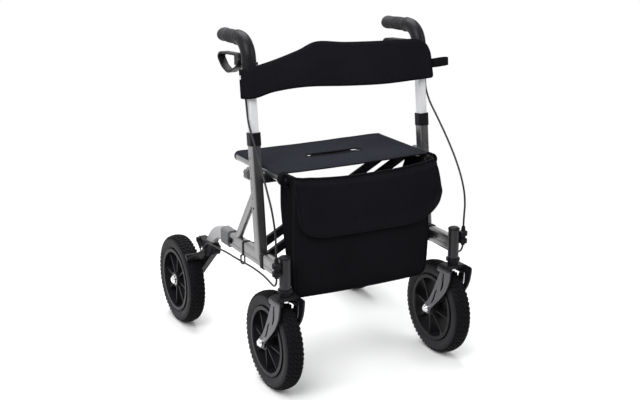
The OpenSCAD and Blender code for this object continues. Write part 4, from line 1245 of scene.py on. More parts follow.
@dataclass
class Grip:
    """Rubber handle grip with a flange, ribs and a widened end for the palm, on one side."""

    side: Side
    length: float = 0.099
    sides: int = 48
    ribs: int = 5
    rib_start: float = 0.016
    rib_pitch: float = 0.0082
    rib_depth: float = 0.0016
    rib_profile: tuple[tuple[float, float], ...] = (
        (-0.0019, 0.0), (-0.0010, 1.0), (0.0010, 1.0), (0.0019, 0.0))
    flange: tuple[tuple[float, float], ...] = (
        (0.0, 0.0180), (0.0008, 0.0190), (0.0040, 0.0190), (0.0049, 0.0181), (0.0053, 0.0160))
    neck: tuple[float, ...] = (0.0075, 0.0110)
    end_shares: tuple[float, ...] = (0.58, 0.65, 0.72, 0.79, 0.86, 0.90, 0.93, 0.955, 0.975, 0.99, 0.998)
    set_off: float = 0.0063
    body_r: float = 0.0156
    swell: float = 0.0018
    palm: float = 0.0016
    flare: float = 0.20

    @property
    def heading(self) -> Vector:
        """Direction of the grip, a little down to its end."""
        return Vector((0.0, math.cos(GRIP_DROOP), -math.sin(GRIP_DROOP)))

    @property
    def start(self) -> Vector:
        """Middle of the grip's flange at the elbow's end.

        Returns:
            The point.
        """
        turn = math.pi / 2 - POST_LEAN + GRIP_DROOP
        foot = on_post(self.side.value * FRAME_X, ELBOW_BEND_R * (1 - math.cos(turn)),
                       ELBOW_TOP + ELBOW_BEND_R * math.sin(turn))
        return foot + self.heading * self.set_off

    def radius(self, along: float) -> float:
        """Radius of the grip's body without its ribs.

        Args:
            along: Distance from the flange.

        Returns:
            The radius.
        """
        u = along / self.length
        body = self.body_r + self.swell * math.sin(math.pi * min(u / 0.75, 1.0))
        body += self.palm * smooth((u - 0.60) / 0.28)
        return body * math.sqrt(max(1.0 - max((u - 0.90) / 0.10, 0.0) ** 2.4, 0.0))

    def rings(self) -> list[tuple[float, float]]:
        """Distances along the grip, each with its radius.

        Returns:
            The rings, from the flange to the end.
        """
        rows = [*self.flange, *((along, self.radius(along)) for along in self.neck)]
        for rib in range(self.ribs):
            middle = self.rib_start + rib * self.rib_pitch
            for offset, sink in self.rib_profile:
                rows.append((middle + offset, self.radius(middle) - sink * self.rib_depth))
        return rows + [(self.length * u, self.radius(self.length * u)) for u in self.end_shares]

    def build(self) -> None:
        """Draws the grip out ring by ring from a circle at the elbow."""
        rows = self.rings()
        Bench.clear()
        bpy.ops.mesh.primitive_circle_add(vertices=self.sides, radius=rows[0][1], location=self.start,
                                          rotation=(-math.pi / 2 - GRIP_DROOP, 0.0, 0.0))
        grip = Hand.settle(self.side.prefix + "ribbed_grip")
        Hand.choose(grip, Pick.VERTEX, lambda v: True)
        for (here, before_r), (there, after_r) in zip(rows, rows[1:]):
            step = self.heading * (there - here)
            bpy.ops.mesh.extrude_region_move(TRANSFORM_OT_translate={"value": step})
            middle = self.start + self.heading * there
            size = after_r / before_r
            bpy.ops.transform.resize(value=(size, size, size), center_override=middle)
            grow = self.widen(there) / self.widen(here)
            outer = middle + self.side.at(after_r, 0.0, 0.0)
            bpy.ops.transform.resize(value=(grow, 1.0, 1.0), center_override=outer)
        bpy.ops.mesh.merge(type="CENTER")
        bpy.ops.object.mode_set(mode="OBJECT")
        Bench.outward(grip)
        Bench.smoothed(grip, 40.0)
        prefix = self.side.prefix
        Bench.dress(grip, "grip_rubber", prefix + "handle", [prefix + "grip"])

    def widen(self, along: float) -> float:
        """Factor on the grip's width, for the palm."""
        return 1.0 + self.flare * smooth((along / self.length - 0.50) / 0.38)


@dataclass
class Fasteners:
    """Screws, caps and studs on one side."""

    side: Side
    bolt_y: float = -0.030
    screw: tuple[float, float] = (-0.003, 0.478)
    plug: tuple[float, float] = (0.036, 0.5385)
    stud_y: float = -0.004
    stud_share: float = 0.74
    sink: float = 0.0012
    ferrule: Place = (0.0, 0.0009, 0.0060)
    cap_depth: float = 0.0090

    def build(self) -> None:
        """Makes the rail's bolt, the elbow's screw and plug, the band's stud and the cable's ends."""
        out = self.side.at(1.0, 0.0, 0.0)
        low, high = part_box(self.side.prefix + "lower_rail")
        seat = self.side.at(max(abs(low[0]), abs(high[0])), self.bolt_y, POST_FOOT.z)
        self.fit("rail_bolt", "black_plastic", "frame", [
            Hand.button("washer", seat, out, 0.0088, 0.0014, 32),
            Hand.button("head", seat + out * 0.0013, out, 0.0066, 0.0046, 6, dish=0.0008)])
        head = self.spot(FRAME_X + ELBOW_R - 0.0008, *self.screw)
        nut = self.spot(FRAME_X - ELBOW_R + 0.0008, *self.screw)
        plug = self.spot(FRAME_X + ELBOW_R - self.sink, *self.plug)
        self.fit("elbow_screw", "black_plastic", "handle", [
            Hand.button("head", head, out, 0.0046, 0.0016, 24, dish=0.0010),
            Hand.button("nut", nut, -out, 0.0042, 0.0040, 6),
            Hand.button("plug", plug, out, 0.0030, 0.0018, 20)])
        if self.side is Side.LEFT:
            self.stud(out)
        clamp = self.side.at(*BrakeCable.route[-1])
        self.fit("cable_screw", "bright_steel", "frame", [
            Hand.button("collar", clamp - out * 0.001, out, 0.0070, 0.0050, 28, dish=0.0012),
            Hand.button("head", clamp + out * 0.0030, out, 0.0042, 0.0040, 6, dish=0.0008)])
        self.plugs()
        tip, way = self.side.at(*BrakeCable.route[0]), Vector(self.ferrule)
        foot = tip - Vector((0.0, -way.y, way.z))
        self.fit("cable_ferrule", "black_plastic", "handle", [
            Hand.button("ferrule", foot, way, 0.0042, 0.016, 20, dish=0.0006)])

    def fit(self, name: str, slot: str, body: str, heads: list[Piece]) -> None:
        """Joins heads into one fastener of this side.

        Args:
            name: The fastener's name on this side.
            slot: The record's material slot.
            body: The name of its body on this side.
            heads: The heads.
        """
        Bench.dress(Bench.join(self.side.prefix + name, heads), slot, self.side.prefix + body)

    def stud(self, out: Vector) -> None:
        """Makes the stud that holds the band's end.

        Args:
            out: The side's outward direction.
        """
        band = BackBand()
        along = band.height(-FRAME_X - band.hug, self.stud_share)
        spot = self.spot(FRAME_X + band.hug + band.thickness / 2 - self.sink, self.stud_y, along)
        stud = Hand.button("band_stud", spot, out, 0.0052, 0.0022, 24, dish=0.0008)
        Bench.dress(stud, "bright_steel", self.side.prefix + "handle")

    def plugs(self) -> None:
        """Makes the caps over the ends of this side's seat tube."""
        low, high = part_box(self.side.prefix + "seat_tube")
        caps = []
        for end, way in ((low[1], -1.0), (high[1], 1.0)):
            foot = self.side.at(BRACE_X, end - way * (self.cap_depth - 0.0005), SEAT_TUBE_Z)
            caps.append(Hand.button("cap", foot, Vector((0.0, way, 0.0)), SEAT_TUBE_R + 0.0004,
                                    self.cap_depth, 36, dish=0.0008))
        piece = Bench.join(self.side.prefix + "seat_tube_caps", caps)
        Bench.dress(piece, "black_plastic", self.side.seat_arm)

    def spot(self, x: float, y: float, along: float) -> Vector:
        """Point beside the post on this side."""
        return on_post(self.side.value * x, y, along)


@dataclass
class SeatCloth:
    """Sling of cloth between the seat tubes, with a bound slot and a pull strap under it."""

    front_y: float = -0.250
    rear_y: float = 0.002
    thickness: float = 0.0024
    gap: float = 0.0003
    sag: float = 0.002
    slot_half: float = 0.081
    slot_r: float = 0.0175
    wrap: float = math.radians(30.0)
    fold_depth: float = 0.0035
    fold_pitch: float = 0.062
    slack: float = 0.0009
    wave_depth: float = 0.0010
    wave_pitch: float = 0.083
    hem_rise: float = 0.0006
    seam: float = 0.011
    side_seam: float = 0.022
    strap_half: float = 0.100
    strap_width: float = 0.032

    @property
    def middle_y(self) -> float:
        """Middle of the cloth's length, where the slot is."""
        return (self.front_y + self.rear_y) / 2

    @property
    def wrap_r(self) -> float:
        """Radius of the cloth's middle round a tube."""
        return SEAT_TUBE_R + self.gap + self.thickness / 2

    @property
    def width(self) -> float:
        """Width of the cut, round both tubes."""
        return 2 * (BRACE_X + self.wrap_r * (math.pi / 2 - self.wrap))

    def height(self, x: float, y: float) -> float:
        """Height of the cloth's middle between the tubes.

        Args:
            x: Distance from the middle.
            y: Distance along the seat.

        Returns:
            The height.
        """
        u = min(abs(x) / BRACE_X, 1.0)
        pull = math.exp(-((1.0 - u) / 0.20) ** 2) * (1.0 - u)
        fold = self.fold_depth * pull * math.sin(2 * math.pi * y / self.fold_pitch + (0.9 if x > 0 else 0.0))
        slack = self.slack * ripple(Vector((x, y * 0.5, 0.0)), 16.0, 3.0) * (1.0 - u ** 4)
        wave = math.sin(2 * math.pi * y / self.wave_pitch + 1.2 * x / BRACE_X)
        slack += self.wave_depth * wave * (1.0 - u ** 6)
        hem = math.exp(-(min(y - self.front_y, self.rear_y - y) / 0.010) ** 2)
        rise = fold + slack + self.hem_rise * hem * (1.0 - u ** 6)
        return SEAT_TUBE_Z + self.wrap_r - self.sag * (1.0 - u * u) + rise

    def place(self, s: float, t: float) -> Vector:
        """Point of the cloth's middle.

        Args:
            s: Share of the width, from the left.
            t: Share of the length, from the front.

        Returns:
            The point.
        """
        y = mix(self.front_y, self.rear_y, t)
        arc = self.wrap_r * (math.pi / 2 - self.wrap)
        run = s * self.width
        side = -1.0 if run < self.width / 2 else 1.0
        inward = min(run, self.width - run)
        if inward < arc:
            angle = self.wrap + inward / self.wrap_r
            return Vector((side * (BRACE_X + self.wrap_r * math.cos(angle)), y,
                           SEAT_TUBE_Z + self.wrap_r * math.sin(angle)))
        x = side * (BRACE_X - (inward - arc))
        return Vector((x, y, self.height(x, y)))

    def slot_path(self, spread: float, lift: float, count: int = 96) -> Path:
        """Outline of the slot on the cloth, moved outwards and up.

        Args:
            spread: How far it is moved outwards.
            lift: How far it is moved up.
            count: Number of its points.

        Returns:
            The points.
        """
        path = []
        straight, r = self.slot_half - self.slot_r, self.slot_r + spread
        for k in range(count):
            angle = 2 * math.pi * k / count
            cosine = math.cos(angle)
            x = straight * (1 if cosine > 0 else -1) * smooth(abs(cosine) * 4) + r * cosine
            y = self.middle_y + r * math.sin(angle)
            path.append(Vector((x, y, self.height(x, y) + lift)))
        return path

    def build(self) -> None:
        """Makes the cloth, its hems, slot, strap and stitching."""
        cloth = Bench.sheet("seat_cloth", 120, 72, (self.width, self.rear_y - self.front_y), self.place)
        Bench.thicken(cloth, self.thickness)
        self.cut_slot(cloth)
        Bench.smoothed(cloth, 45.0)
        Bench.dress(cloth, "seat_cloth", None, ["seat"])
        trims = [self.binding(), self.hems(), self.pull_strap(), self.sewing()]
        for piece in (cloth, *trims):
            Side.LEFT.seat_arm
            Side.RIGHT.seat_arm
            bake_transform(piece)

    def cut_slot(self, cloth: Piece) -> None:
        """Cuts the rounded slot through the cloth.

        Args:
            cloth: The cloth, with its thickness.
        """
        Bench.clear()
        bpy.ops.mesh.primitive_cylinder_add(vertices=64, radius=self.slot_r, depth=0.06,
                                            location=(0, self.middle_y, SEAT_TUBE_Z + 0.008))
        cutter = Hand.settle("slot_cutter")
        for point in cutter.data.vertices:
            if abs(point.co.x) > 1e-5:
                point.co.x += math.copysign(self.slot_half - self.slot_r, point.co.x)
        Bench.modify(cloth, "BOOLEAN", operation="DIFFERENCE", object=cutter, solver="EXACT")
        bpy.data.objects.remove(cutter)

    def binding(self) -> Piece:
        """Rolled binding round the slot."""
        piece = Bench.tube("seat_slot_binding", self.slot_path(0.0006, 0.0002), 0.0021, 10, closed=True)
        return Bench.dress(piece, "seat_cloth", None, finish=Finishes.PIPING)

    def hems(self) -> Piece:
        """Corded hems along the front and rear edges."""
        rolls = [Bench.tube("hem", [self.place(k / 90, end) for k in range(91)], 0.0019, 8)
                 for end in (0.0, 1.0)]
        return Bench.dress(Bench.join("seat_hems", rolls), "seat_cloth", None, finish=Finishes.PIPING)

    def pull_strap(self) -> Piece:
        """Webbing strap under the slot, for lifting the seat.

        Returns:
            The object.
        """

        def place(s: float, t: float) -> Vector:
            """Point of the strap, narrower where it goes under the cloth.

            Args:
                s: Share of the length.
                t: Share of the width.

            Returns:
                The point.
            """
            x = mix(-self.strap_half, self.strap_half, s)
            wide = mix(self.strap_width, 0.004, smooth((abs(x) - 0.055) / 0.006))
            y = self.middle_y + 0.010 + (t - 0.5) * wide
            drop = 0.0026 + 0.0016 * smooth(1.0 - abs(x) / 0.085)
            return Vector((x, y, self.height(x, y) - drop))

        size = (2 * self.strap_half, self.strap_width)
        piece = Bench.sheet("seat_pull_strap", 60, 8, size, place)
        Bench.outward(piece)
        Bench.smoothed(Bench.thicken(piece, 0.0016), 45.0)
        return Bench.dress(piece, "webbing", None)

    def sewing(self) -> Piece:
        """Stitching beside the hems, the slot and the tubes.

        Returns:
            The object.
        """
        lift = self.thickness / 2 + 0.0002
        ends = (self.front_y + self.seam, self.rear_y - self.seam)
        sides = (-BRACE_X + self.side_seam, BRACE_X - self.side_seam)
        rows = [[(mix(-BRACE_X, BRACE_X, k / 120), y) for k in range(121)] for y in ends]
        rows += [[(x, mix(*ends, k / 80)) for k in range(81)] for x in sides]
        paths = [[Vector((x, y, self.height(x, y) + lift)) for x, y in row] for row in rows]
        ring = self.slot_path(0.0065, lift)
        paths.append(ring + ring[:1])
        piece = Bench.join("seat_stitching", [Bench.stitches("row", path) for path in paths])
        return Bench.dress(piece, "seat_cloth", None, finish=Finishes.THREAD)


@dataclass
class Bag:
    """Soft carry bag under the seat: a sagging shell with pinched sides, hung by loops on the tubes."""

    foot_z: float = 0.232
    top_z: float = 0.527
    front_y: float = -0.291
    depth: float = 0.100
    back_foot: float = 0.179
    back_top: float = 0.1915
    mouth_drop: float = 0.085
    left_foot: float = 0.202
    right_foot: float = 0.181
    top_half: float = 0.199
    corner: float = 0.013
    foot_r: float = 0.026
    levels: int = 34
    cloth: float = 0.0022
    belly: float = 0.003
    front_sag: float = 0.006
    back_lean: float = 0.014
    pinch: float = 0.007
    drape: float = 0.0022
    pleat: float = 0.0016
    girth_row: int = 10
    front_corners: tuple[tuple[int, int], ...] = ((2, -1), (46, 1))
    loop_y: float = -0.2555
    loop_width: float = 0.020
    loop_off: float = 0.0013
    folded: float = 0.272

    def half(self, side: float, u: float) -> float:
        """Half width on one side at a share of the height.

        Args:
            side: Below 0 for the left side.
            u: The share.

        Returns:
            The half width.
        """
        foot = self.left_foot if side < 0 else self.right_foot
        belly = self.belly * math.sin(math.pi * min(u * 1.3, 1.0))
        return mix(foot, self.top_half, smooth((u - 0.55) / 0.45)) + belly

    def ring(self, z: float, inset: float) -> Path:
        """Closed outline of the shell at a height.

        Args:
            z: The height.
            inset: How far the outline is drawn in, for the rounded foot.

        Returns:
            Points in order: front from left to right, right side, back, left side.
        """
        u = (z - self.foot_z) / (self.top_z - self.foot_z)
        back = self.front_y + self.depth - 0.010 + self.back_lean * smooth(u * 1.2)
        front = self.front_y - self.front_sag * math.sin(math.pi * min(u * 1.05, 1.0)) * (1 - 0.4 * u)
        y0, y1 = front + inset * 0.45, back - inset * 0.45
        x0, x1 = -self.half(-1, u) + inset, self.half(1, u) - inset
        r = self.corner
        tail = mix(self.back_foot, self.back_top, smooth(u * 1.15)) - inset
        pinch = self.pinch * math.sin(math.pi * min(u * 1.15, 1.0))
        points = []
        corners = [(x0 + r, y0 + r, 180), (x1 - r, y0 + r, 270),
                   (tail - r, y1 - r, 0), (r - tail, y1 - r, 90)]

        def turned(corner: int, step: int) -> Vector:
            """Point of a rounded corner.

            Args:
                corner: The corner's number.
                step: Number of the point on it.

            Returns:
                The point.
            """
            cx, cy, start = corners[corner % 4]
            angle = math.radians(start + 22.5 * step)
            return Vector((cx + r * math.cos(angle), cy + r * math.sin(angle), z))

        for k, count in enumerate((40, 12, 40, 12)):
            points += [turned(k, step) for step in range(5)]
            a, b = points[-1], turned(k + 1, 0)
            for step in range(1, count):
                share = step / count
                p = a.lerp(b, share)
                if k == 0:
                    p.y -= 0.004 * math.sin(math.pi * share) * smooth(u * 3) * smooth((1 - u) * 4)
                elif k == 2:
                    p.y -= 0.006 * math.sin(math.pi * share) * smooth((u - 0.3) * 2)
                else:
                    inward = pinch * (1 - abs(2 * share - 1))
                    p.x += -inward if k == 1 else inward
                points.append(p)
        return points

    def loosen(self, p: Vector) -> Vector:
        """Point of the shell with the sag and creases of loose cloth.

        Args:
            p: The point as drawn.

        Returns:
            The moved point.
        """
        u = (p.z - self.foot_z) / (self.top_z - self.foot_z)
        reach = min(abs(p.x) / self.top_half, 1.0)
        drape = ripple(Vector((p.x * 1.1, p.y * 2.0, p.z * 0.55)), 15.0, 5.0)
        fine = ripple(Vector((p.x * 1.6, p.y * 3.0, p.z * 0.8)), 34.0, 9.0)
        hang = self.drape * (1 + smooth((reach - 0.93) / 0.05)) * drape + 0.0009 * fine
        top = smooth((u - 0.55) / 0.45)
        pleat = self.pleat * top * math.sin(p.x * 150.0 + 2.0 * drape) * smooth((reach - 0.5) * 2.5)
        behind = smooth((p.y - self.front_y - 0.012) / (self.depth - 0.012))
        lift = 0.013 * reach ** 2.4 * top * (1 - behind)
        lift -= self.mouth_drop * behind * top * (1 - smooth((reach - 0.72) / 0.22))
        sag = -0.004 * (1 - reach ** 2) * (1 - smooth(u * 4))
        edge = smooth(u * 6)
        return Vector((p.x + hang * 0.8 * edge, p.y + (hang + pleat) * edge, p.z + lift + sag))

    def rings(self) -> list[Path]:
        """All outlines of the shell, from the foot up.

        Returns:
            The outlines.
        """
        rows = [self.ring(self.foot_z, 0.060), self.ring(self.foot_z, 0.034)]
        for k in range(6):
            angle = math.pi / 2 * k / 5
            rows.append(self.ring(self.foot_z + self.foot_r * (1 - math.cos(angle)),
                                  self.foot_r * (1 - math.sin(angle))))
        start = self.foot_z + self.foot_r
        for k in range(1, self.levels + 1):
            rows.append(self.ring(mix(start, self.top_z, k / self.levels), 0.0))
        return rows

    def build(self) -> None:
        """Makes the shell, its piping, loops and stitching."""
        rows = [[self.loosen(p) for p in row] for row in self.rings()]
        n, girth = len(rows[0]), rows[self.girth_row]
        faces = [tuple(range(n - 1, -1, -1)), *Bench.ring_faces(len(rows), n)]
        around = [0.0]
        for a, b in zip(girth, girth[1:]):
            around.append(around[-1] + (b - a).length)
        points = [p for row in rows for p in row]
        cut = [(run, p.z) for row in rows for run, p in zip(around, row)]
        shell = Bench.mesh("bag_shell", points, faces, cut)
        Bench.outward(shell)
        Bench.thicken(shell, self.cloth, -1.0)
        Bench.modify(shell, "SUBSURF", levels=1, render_levels=1)
        Bench.smoothed(shell, 60.0)
        Bench.dress(shell, "bag_cloth", "sling", ["bag"])
        trims = [self.piping(rows), self.loops(), self.sewing(rows)]
        for piece in (shell, *trims):
            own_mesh(piece)

    def piping(self, rows: list[Path]) -> Piece:
        """Piped seams up the front corners, round the foot and round the mouth.

        Args:
            rows: The shell's outlines.

        Returns:
            The object.
        """
        bars = []
        for column, way in self.front_corners:
            seam = [row[column] + Vector((0.0006 * way, -0.0006, 0)) for row in rows[3:]]
            bars.append(Bench.tube("corner", seam, 0.0016, 8))
        foot = [p + Vector((0, -0.0004, -0.0006)) for p in rows[4]]
        bars.append(Bench.tube("foot", foot, 0.0015, 8, closed=True))
        bars.append(Bench.tube("rim", rows[-1], 0.0021, 8, closed=True))
        return Bench.dress(Bench.join("bag_piping", bars), "bag_cloth", "sling", finish=Finishes.PIPING)

    def loops(self) -> Piece:
        """Webbing loops from the bag's top corners over the seat tubes.

        Returns:
            The object.
        """
        straps = []
        r = SEAT_TUBE_R + SeatCloth.gap + SeatCloth.thickness + self.loop_off
        y = self.loop_y
        for side in Side:
            path = [side.at(BRACE_X - 0.008, y - 0.004, SEAT_TUBE_Z - 0.034)]
            for k in range(19):
                angle = math.radians(mix(-100.0, 96.0, k / 18))
                path.append(side.at(BRACE_X + r * math.cos(angle), y, SEAT_TUBE_Z + r * math.sin(angle)))
            straps.append(Bench.ribbon("loop", path, self.loop_width, 0.0018, Vector((0, 1, 0))))
        return Bench.dress(Bench.join("bag_loops", straps), "webbing", "sling")

    def sewing(self, rows: list[Path]) -> Piece:
        """Stitching inside the piped seams of the front.

        Args:
            rows: The shell's outlines.

        Returns:
            The object.
        """
        seams = [[row[column - 4 * way] + Vector((0, -0.0004, 0)) for row in rows[9:]]
                 for column, way in self.front_corners]
        piece = Bench.join("bag_stitching", [Bench.stitches("row", seam) for seam in seams])
        return Bench.dress(piece, "bag_cloth", "sling", finish=Finishes.THREAD)


@dataclass
class BagFlap:
    """Flap over the bag's front, with broad rounded lower corners and a bound edge."""

    top_z: float = 0.524
    low_z: float = 0.386
    rise: float = 0.046
    right_rise: float = 0.066
    flat_half: float = 0.112
    half: float = 0.207
    left_half: float = 0.192
    left_top: float = 0.198
    gap: float = 0.0012
    thickness: float = 0.0030
    belly: float = 0.010
    stand_off: float = 0.0045
    curl: float = 0.0045
    tuck: float = 0.007
    roll: float = 0.006
    folded: float = 0.272

    def lower(self, u: float) -> float:
        """Height of the lower edge at a share of the width, from -1 to 1.

        Args:
            u: The share.

        Returns:
            The height.
        """
        run = max(abs(u) * self.half - self.flat_half, 0.0) / (self.half - self.flat_half)
        rise = self.rise if u < 0 else self.right_rise
        return self.low_z + rise * (1.0 - math.sqrt(max(1.0 - min(run, 1.0) ** 2.2, 0.0)))

    def bulge(self, z: float) -> float:
        """Factor on the width, wider below the top edge."""
        t = (self.top_z - z) / (self.top_z - self.low_z)
        return 0.970 + 0.062 * math.sin(math.pi * min(max(t, 0.0), 1.0) ** 0.75)

    def place(self, s: float, t: float) -> Vector:
        """Point of the flap's middle, across from the left and down from the top.

        Args:
            s: Share of the width.
            t: Share of the height.

        Returns:
            The point.
        """
        u = 2 * s - 1
        z = mix(self.top_z + 0.013 * abs(u) ** 2.4 - 0.002, self.lower(u), t)
        left = mix(self.left_half, self.left_top, smooth((z - 0.47) / 0.05))
        x = u * (self.half * self.bulge(z) if u > 0 else left)
        share = (z - Bag.foot_z) / (Bag.top_z - Bag.foot_z)
        belly = math.sin(math.pi * min(share * 1.05, 1.0)) * (1 - 0.4 * share) * (1 - 0.35 * u * u)
        bag = Bag.front_y - self.belly * belly
        hang = 0.0014 * ripple(Vector((x * 1.1, 0.0, z * 0.6)), 14.0, 21.0) \
            + 0.0006 * ripple(Vector((x, 0.0, z)), 40.0, 2.0)
        curl = self.curl * smooth((t - 0.72) / 0.28) + 0.003 * math.sin(math.pi * t)
        side = self.tuck * smooth((abs(u) - 0.86) / 0.14) * math.sin(math.pi * min(t * 1.1, 1.0))
        roll = self.roll * (1 - smooth(t / 0.10))
        y = bag - self.stand_off - self.gap - curl + side + roll + hang * smooth(t * 5)
        return Vector((x, y, z))

    def outline(self, inset: float, reach: float) -> Path:
        """Line down the left side, along the lower edge and up the right side.

        Args:
            inset: Share of the width by which it is set in.
            reach: Share of the height that it goes down to.

        Returns:
            Points of the line.
        """
        down = [self.place(inset, reach * k / 40) for k in range(40)]
        along = [self.place(inset + (1 - 2 * inset) * k / 110, reach) for k in range(110)]
        return down + along + [self.place(1 - inset, reach * (1 - k / 40)) for k in range(41)]

    def build(self) -> None:
        """Makes the flap, its binding and stitching."""
        flap = Bench.sheet("bag_flap_cloth", 110, 46, (2 * self.half, self.top_z - self.low_z), self.place)
        Bench.outward(flap)
        Bench.thicken(flap, self.thickness)
        Bench.smoothed(flap, 60.0)
        Bench.dress(flap, "bag_cloth", "flap", ["bag_flap"])
        bind = Bench.tube("bag_flap_binding", self.outline(0.0, 1.0), 0.0019, 10)
        Bench.dress(bind, "bag_cloth", "flap", finish=Finishes.PIPING)
        ahead = Vector((0, -self.thickness / 2 - 0.0002, 0))
        sewn = Bench.stitches("bag_flap_stitching", [p + ahead for p in self.outline(0.03, 0.93)])
        Bench.dress(sewn, "bag_cloth", "flap", finish=Finishes.THREAD)
        for piece in (flap, bind, sewn):
            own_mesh(piece)


@dataclass
class BackBand:
    """Padded band between the handles, bowed forward and higher to the right."""

    low: float = 0.403
    left_h: float = 0.068
    mid_h: float = 0.113
    right_h: float = 0.078
    bow: float = 0.026
    hug: float = 0.0235
    thickness: float = 0.008
    flare: float = 0.009
    piping_r: float = 0.0021
    wrap_steps: int = 12
    fill: float = 0.45
    folded: float = 0.38

    def path(self, count: int = 120) -> Line:
        """Middle line of the band beside the post's axis, from the left end to the right one.

        Args:
            count: Number of pieces between the posts.

        Returns:
            Points across and behind the axis.
        """
        middle, wrap = [], []
        for k in range(count + 1):
            u = mix(-1.0, 1.0, k / count)
            middle.append((u * FRAME_X, -self.hug - self.bow * (1 - u * u)))
        for k in range(1, self.wrap_steps + 1):
            a = math.radians(mix(-90.0, 20.0, k / self.wrap_steps))
            wrap.append((FRAME_X + self.hug * math.cos(a), self.hug * math.sin(a)))
        return [(-x, y) for x, y in wrap[::-1]] + middle + wrap

    @cached_property
    def edges(self) -> tuple[Path, Path]:
        """Lower and upper edge, as distance from the middle and height above the band's base line.

        Returns:
            The two edges.
        """
        f, over = FRAME_X, 2 * self.hug
        low = [(-f - over, -0.004), (-f, -0.004), (0.050 - f, 0.008), (0.132 - f, 0.013), (0.0, 0.006),
               (f - 0.132, 0.001), (f, 0.002), (f + over, 0.002)]
        top = [(-f - over, self.left_h - 0.010), (-f, self.left_h), (0.052 - f, self.left_h + 0.013),
               (0.112 - f, mix(self.left_h, self.mid_h, 0.7)), (0.162 - f, self.mid_h + 0.004),
               (0.0, self.mid_h - 0.003), (f - 0.120, self.mid_h - 0.008), (f - 0.034, self.mid_h - 0.010),
               (f - 0.006, self.mid_h - 0.017), (f + 0.010, self.mid_h - 0.030),
               (f + self.hug, self.right_h - 0.016), (f + over, self.right_h - 0.030)]
        return (curve_through([Vector((x, 0, z)) for x, z in low], 8),
                curve_through([Vector((x, 0, z)) for x, z in top], 8))

    def height(self, x: float, share: float) -> float:
        """Height up the post of a point of the band.

        Args:
            x: Distance from the middle.
            share: Share of the way from the lower edge to the upper one.

        Returns:
            The distance along the post.
        """
        ends = []
        for edge in self.edges:
            for a, b in zip(edge, edge[1:]):
                if a.x <= x <= b.x:
                    ends.append(a.z + (b.z - a.z) * (x - a.x) / (b.x - a.x))
                    break
        return self.low + mix(ends[0], ends[1], share)

    def build(self) -> None:
        """Makes the padded band in its middle and two end pieces, with piping and stitching."""
        line = self.path()
        last, turn = len(line) - 1, self.wrap_steps
        middle = self.part("back_band", line, turn, last - turn)
        Bench.dress(middle, "band_cloth", "left_handle", ["backrest"])
        lower, upper = self.edge(line, 0.0, 0.0), self.edge(line, 1.0, 0.0)
        between = slice(turn, last - turn + 1)
        seams = [Bench.tube("seam", edge[between], self.piping_r, 8) for edge in (lower, upper)]
        piping = Bench.join("back_band_piping", seams)
        Bench.dress(piping, "band_cloth", "left_handle", finish=Finishes.PIPING)
        for piece in (middle, piping, self.sewing(line[between])):
            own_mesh(piece)
        for side, first, final in ((Side.LEFT, 0, turn), (Side.RIGHT, last - turn, last)):
            body = side.prefix + "handle"
            wrap = self.part(side.prefix + "band_end", line, first, final)
            Bench.dress(wrap, "band_cloth", body)
            low, high = lower[first:final + 1], upper[first:final + 1]
            round_end = low[::-1] + high if side is Side.LEFT else low + high[::-1]
            seam = Bench.tube(side.prefix + "band_end_piping", round_end, self.piping_r, 8)
            Bench.dress(seam, "band_cloth", body, finish=Finishes.PIPING)

    @staticmethod
    def normal(line: Line, i: int) -> Vector:
        """Direction square to the band's middle line at one of its points, outwards.

        Args:
            line: The middle line.
            i: The point's number.

        Returns:
            The direction.
        """
        ax, ay = line[max(i - 1, 0)]
        bx, by = line[min(i + 1, len(line) - 1)]
        return Vector((by - ay, ax - bx)).normalized()

    def part(self, name: str, line: Line, first: int, final: int) -> Piece:
        """Closed padded piece of the band.

        Args:
            name: The piece's name.
            line: Middle line of the whole band.
            first: Where the piece starts on the line.
            final: Where it ends.

        Returns:
            The object.
        """
        ups = [0.0, 0.006, 0.02, 0.06, *(0.12 + 0.76 * k / 16 for k in range(17)), 0.94, 0.98, 0.994, 1.0]
        rounds = [0.10, 0.55, 0.85, 0.97] + [1.0] * 17 + [0.97, 0.85, 0.55, 0.10]
        points, cut = [], []
        run = 0.0
        for i, (x, y) in enumerate(line):
            normal = self.normal(line, i)
            run += math.dist((x, y), line[max(i - 1, 0)])
            if not first <= i <= final:
                continue
            inward = min(i, len(line) - 1 - i)
            outer, inner, flat = [], [], []
            for share, fat in zip(ups, rounds):
                along = self.height(x, share)
                crown = 1.0 + 0.35 * math.sin(math.pi * share) * smooth(inward / 18.0)
                t = self.thickness / 2 * fat * mix(0.35, 1.0, smooth(inward / 3.0))
                pucker = 0.0005 * ripple(Vector((run * 1.5, along, 0.0)), 30.0, 4.0)
                loose = self.loose(i - len(line), share)
                out, back = t * crown + pucker + loose, loose - t
                outer.append(on_post(x + normal.x * out, y + normal.y * out, along))
                inner.append(on_post(x + normal.x * back, y + normal.y * back, along))
                flat.append((run, along))
            points += outer + inner[::-1]
            cut += flat + flat[::-1]
        n, m = final - first + 1, 2 * len(ups)
        faces = Bench.ring_faces(n, m)
        for start in (0, (n - 1) * m):
            faces += [(start + k, start + k + 1, start + m - 2 - k, start + m - 1 - k)
                      for k in range(m // 2 - 1)]
        piece = Bench.mesh(name, points, faces, cut)
        Bench.outward(piece)
        self.keep_ends(piece, n, m)
        Bench.modify(piece, "SUBSURF", levels=1, render_levels=1)
        return Bench.smoothed(piece, 60.0)

    @staticmethod
    def keep_ends(piece: Piece, rings: int, n: int) -> None:
        """Creases the edges of both end faces, so that the band's pieces meet without a groove.

        Args:
            piece: The piece.
            rings: Number of its rings.
            n: Number of points in a ring.
        """
        ends = [set(range(start, start + n)) for start in (0, (rings - 1) * n)]
        creases = piece.data.edge_creases_ensure().data
        for edge in piece.data.edges:
            if any(set(edge.vertices) <= end for end in ends):
                creases[edge.index].value = 1.0

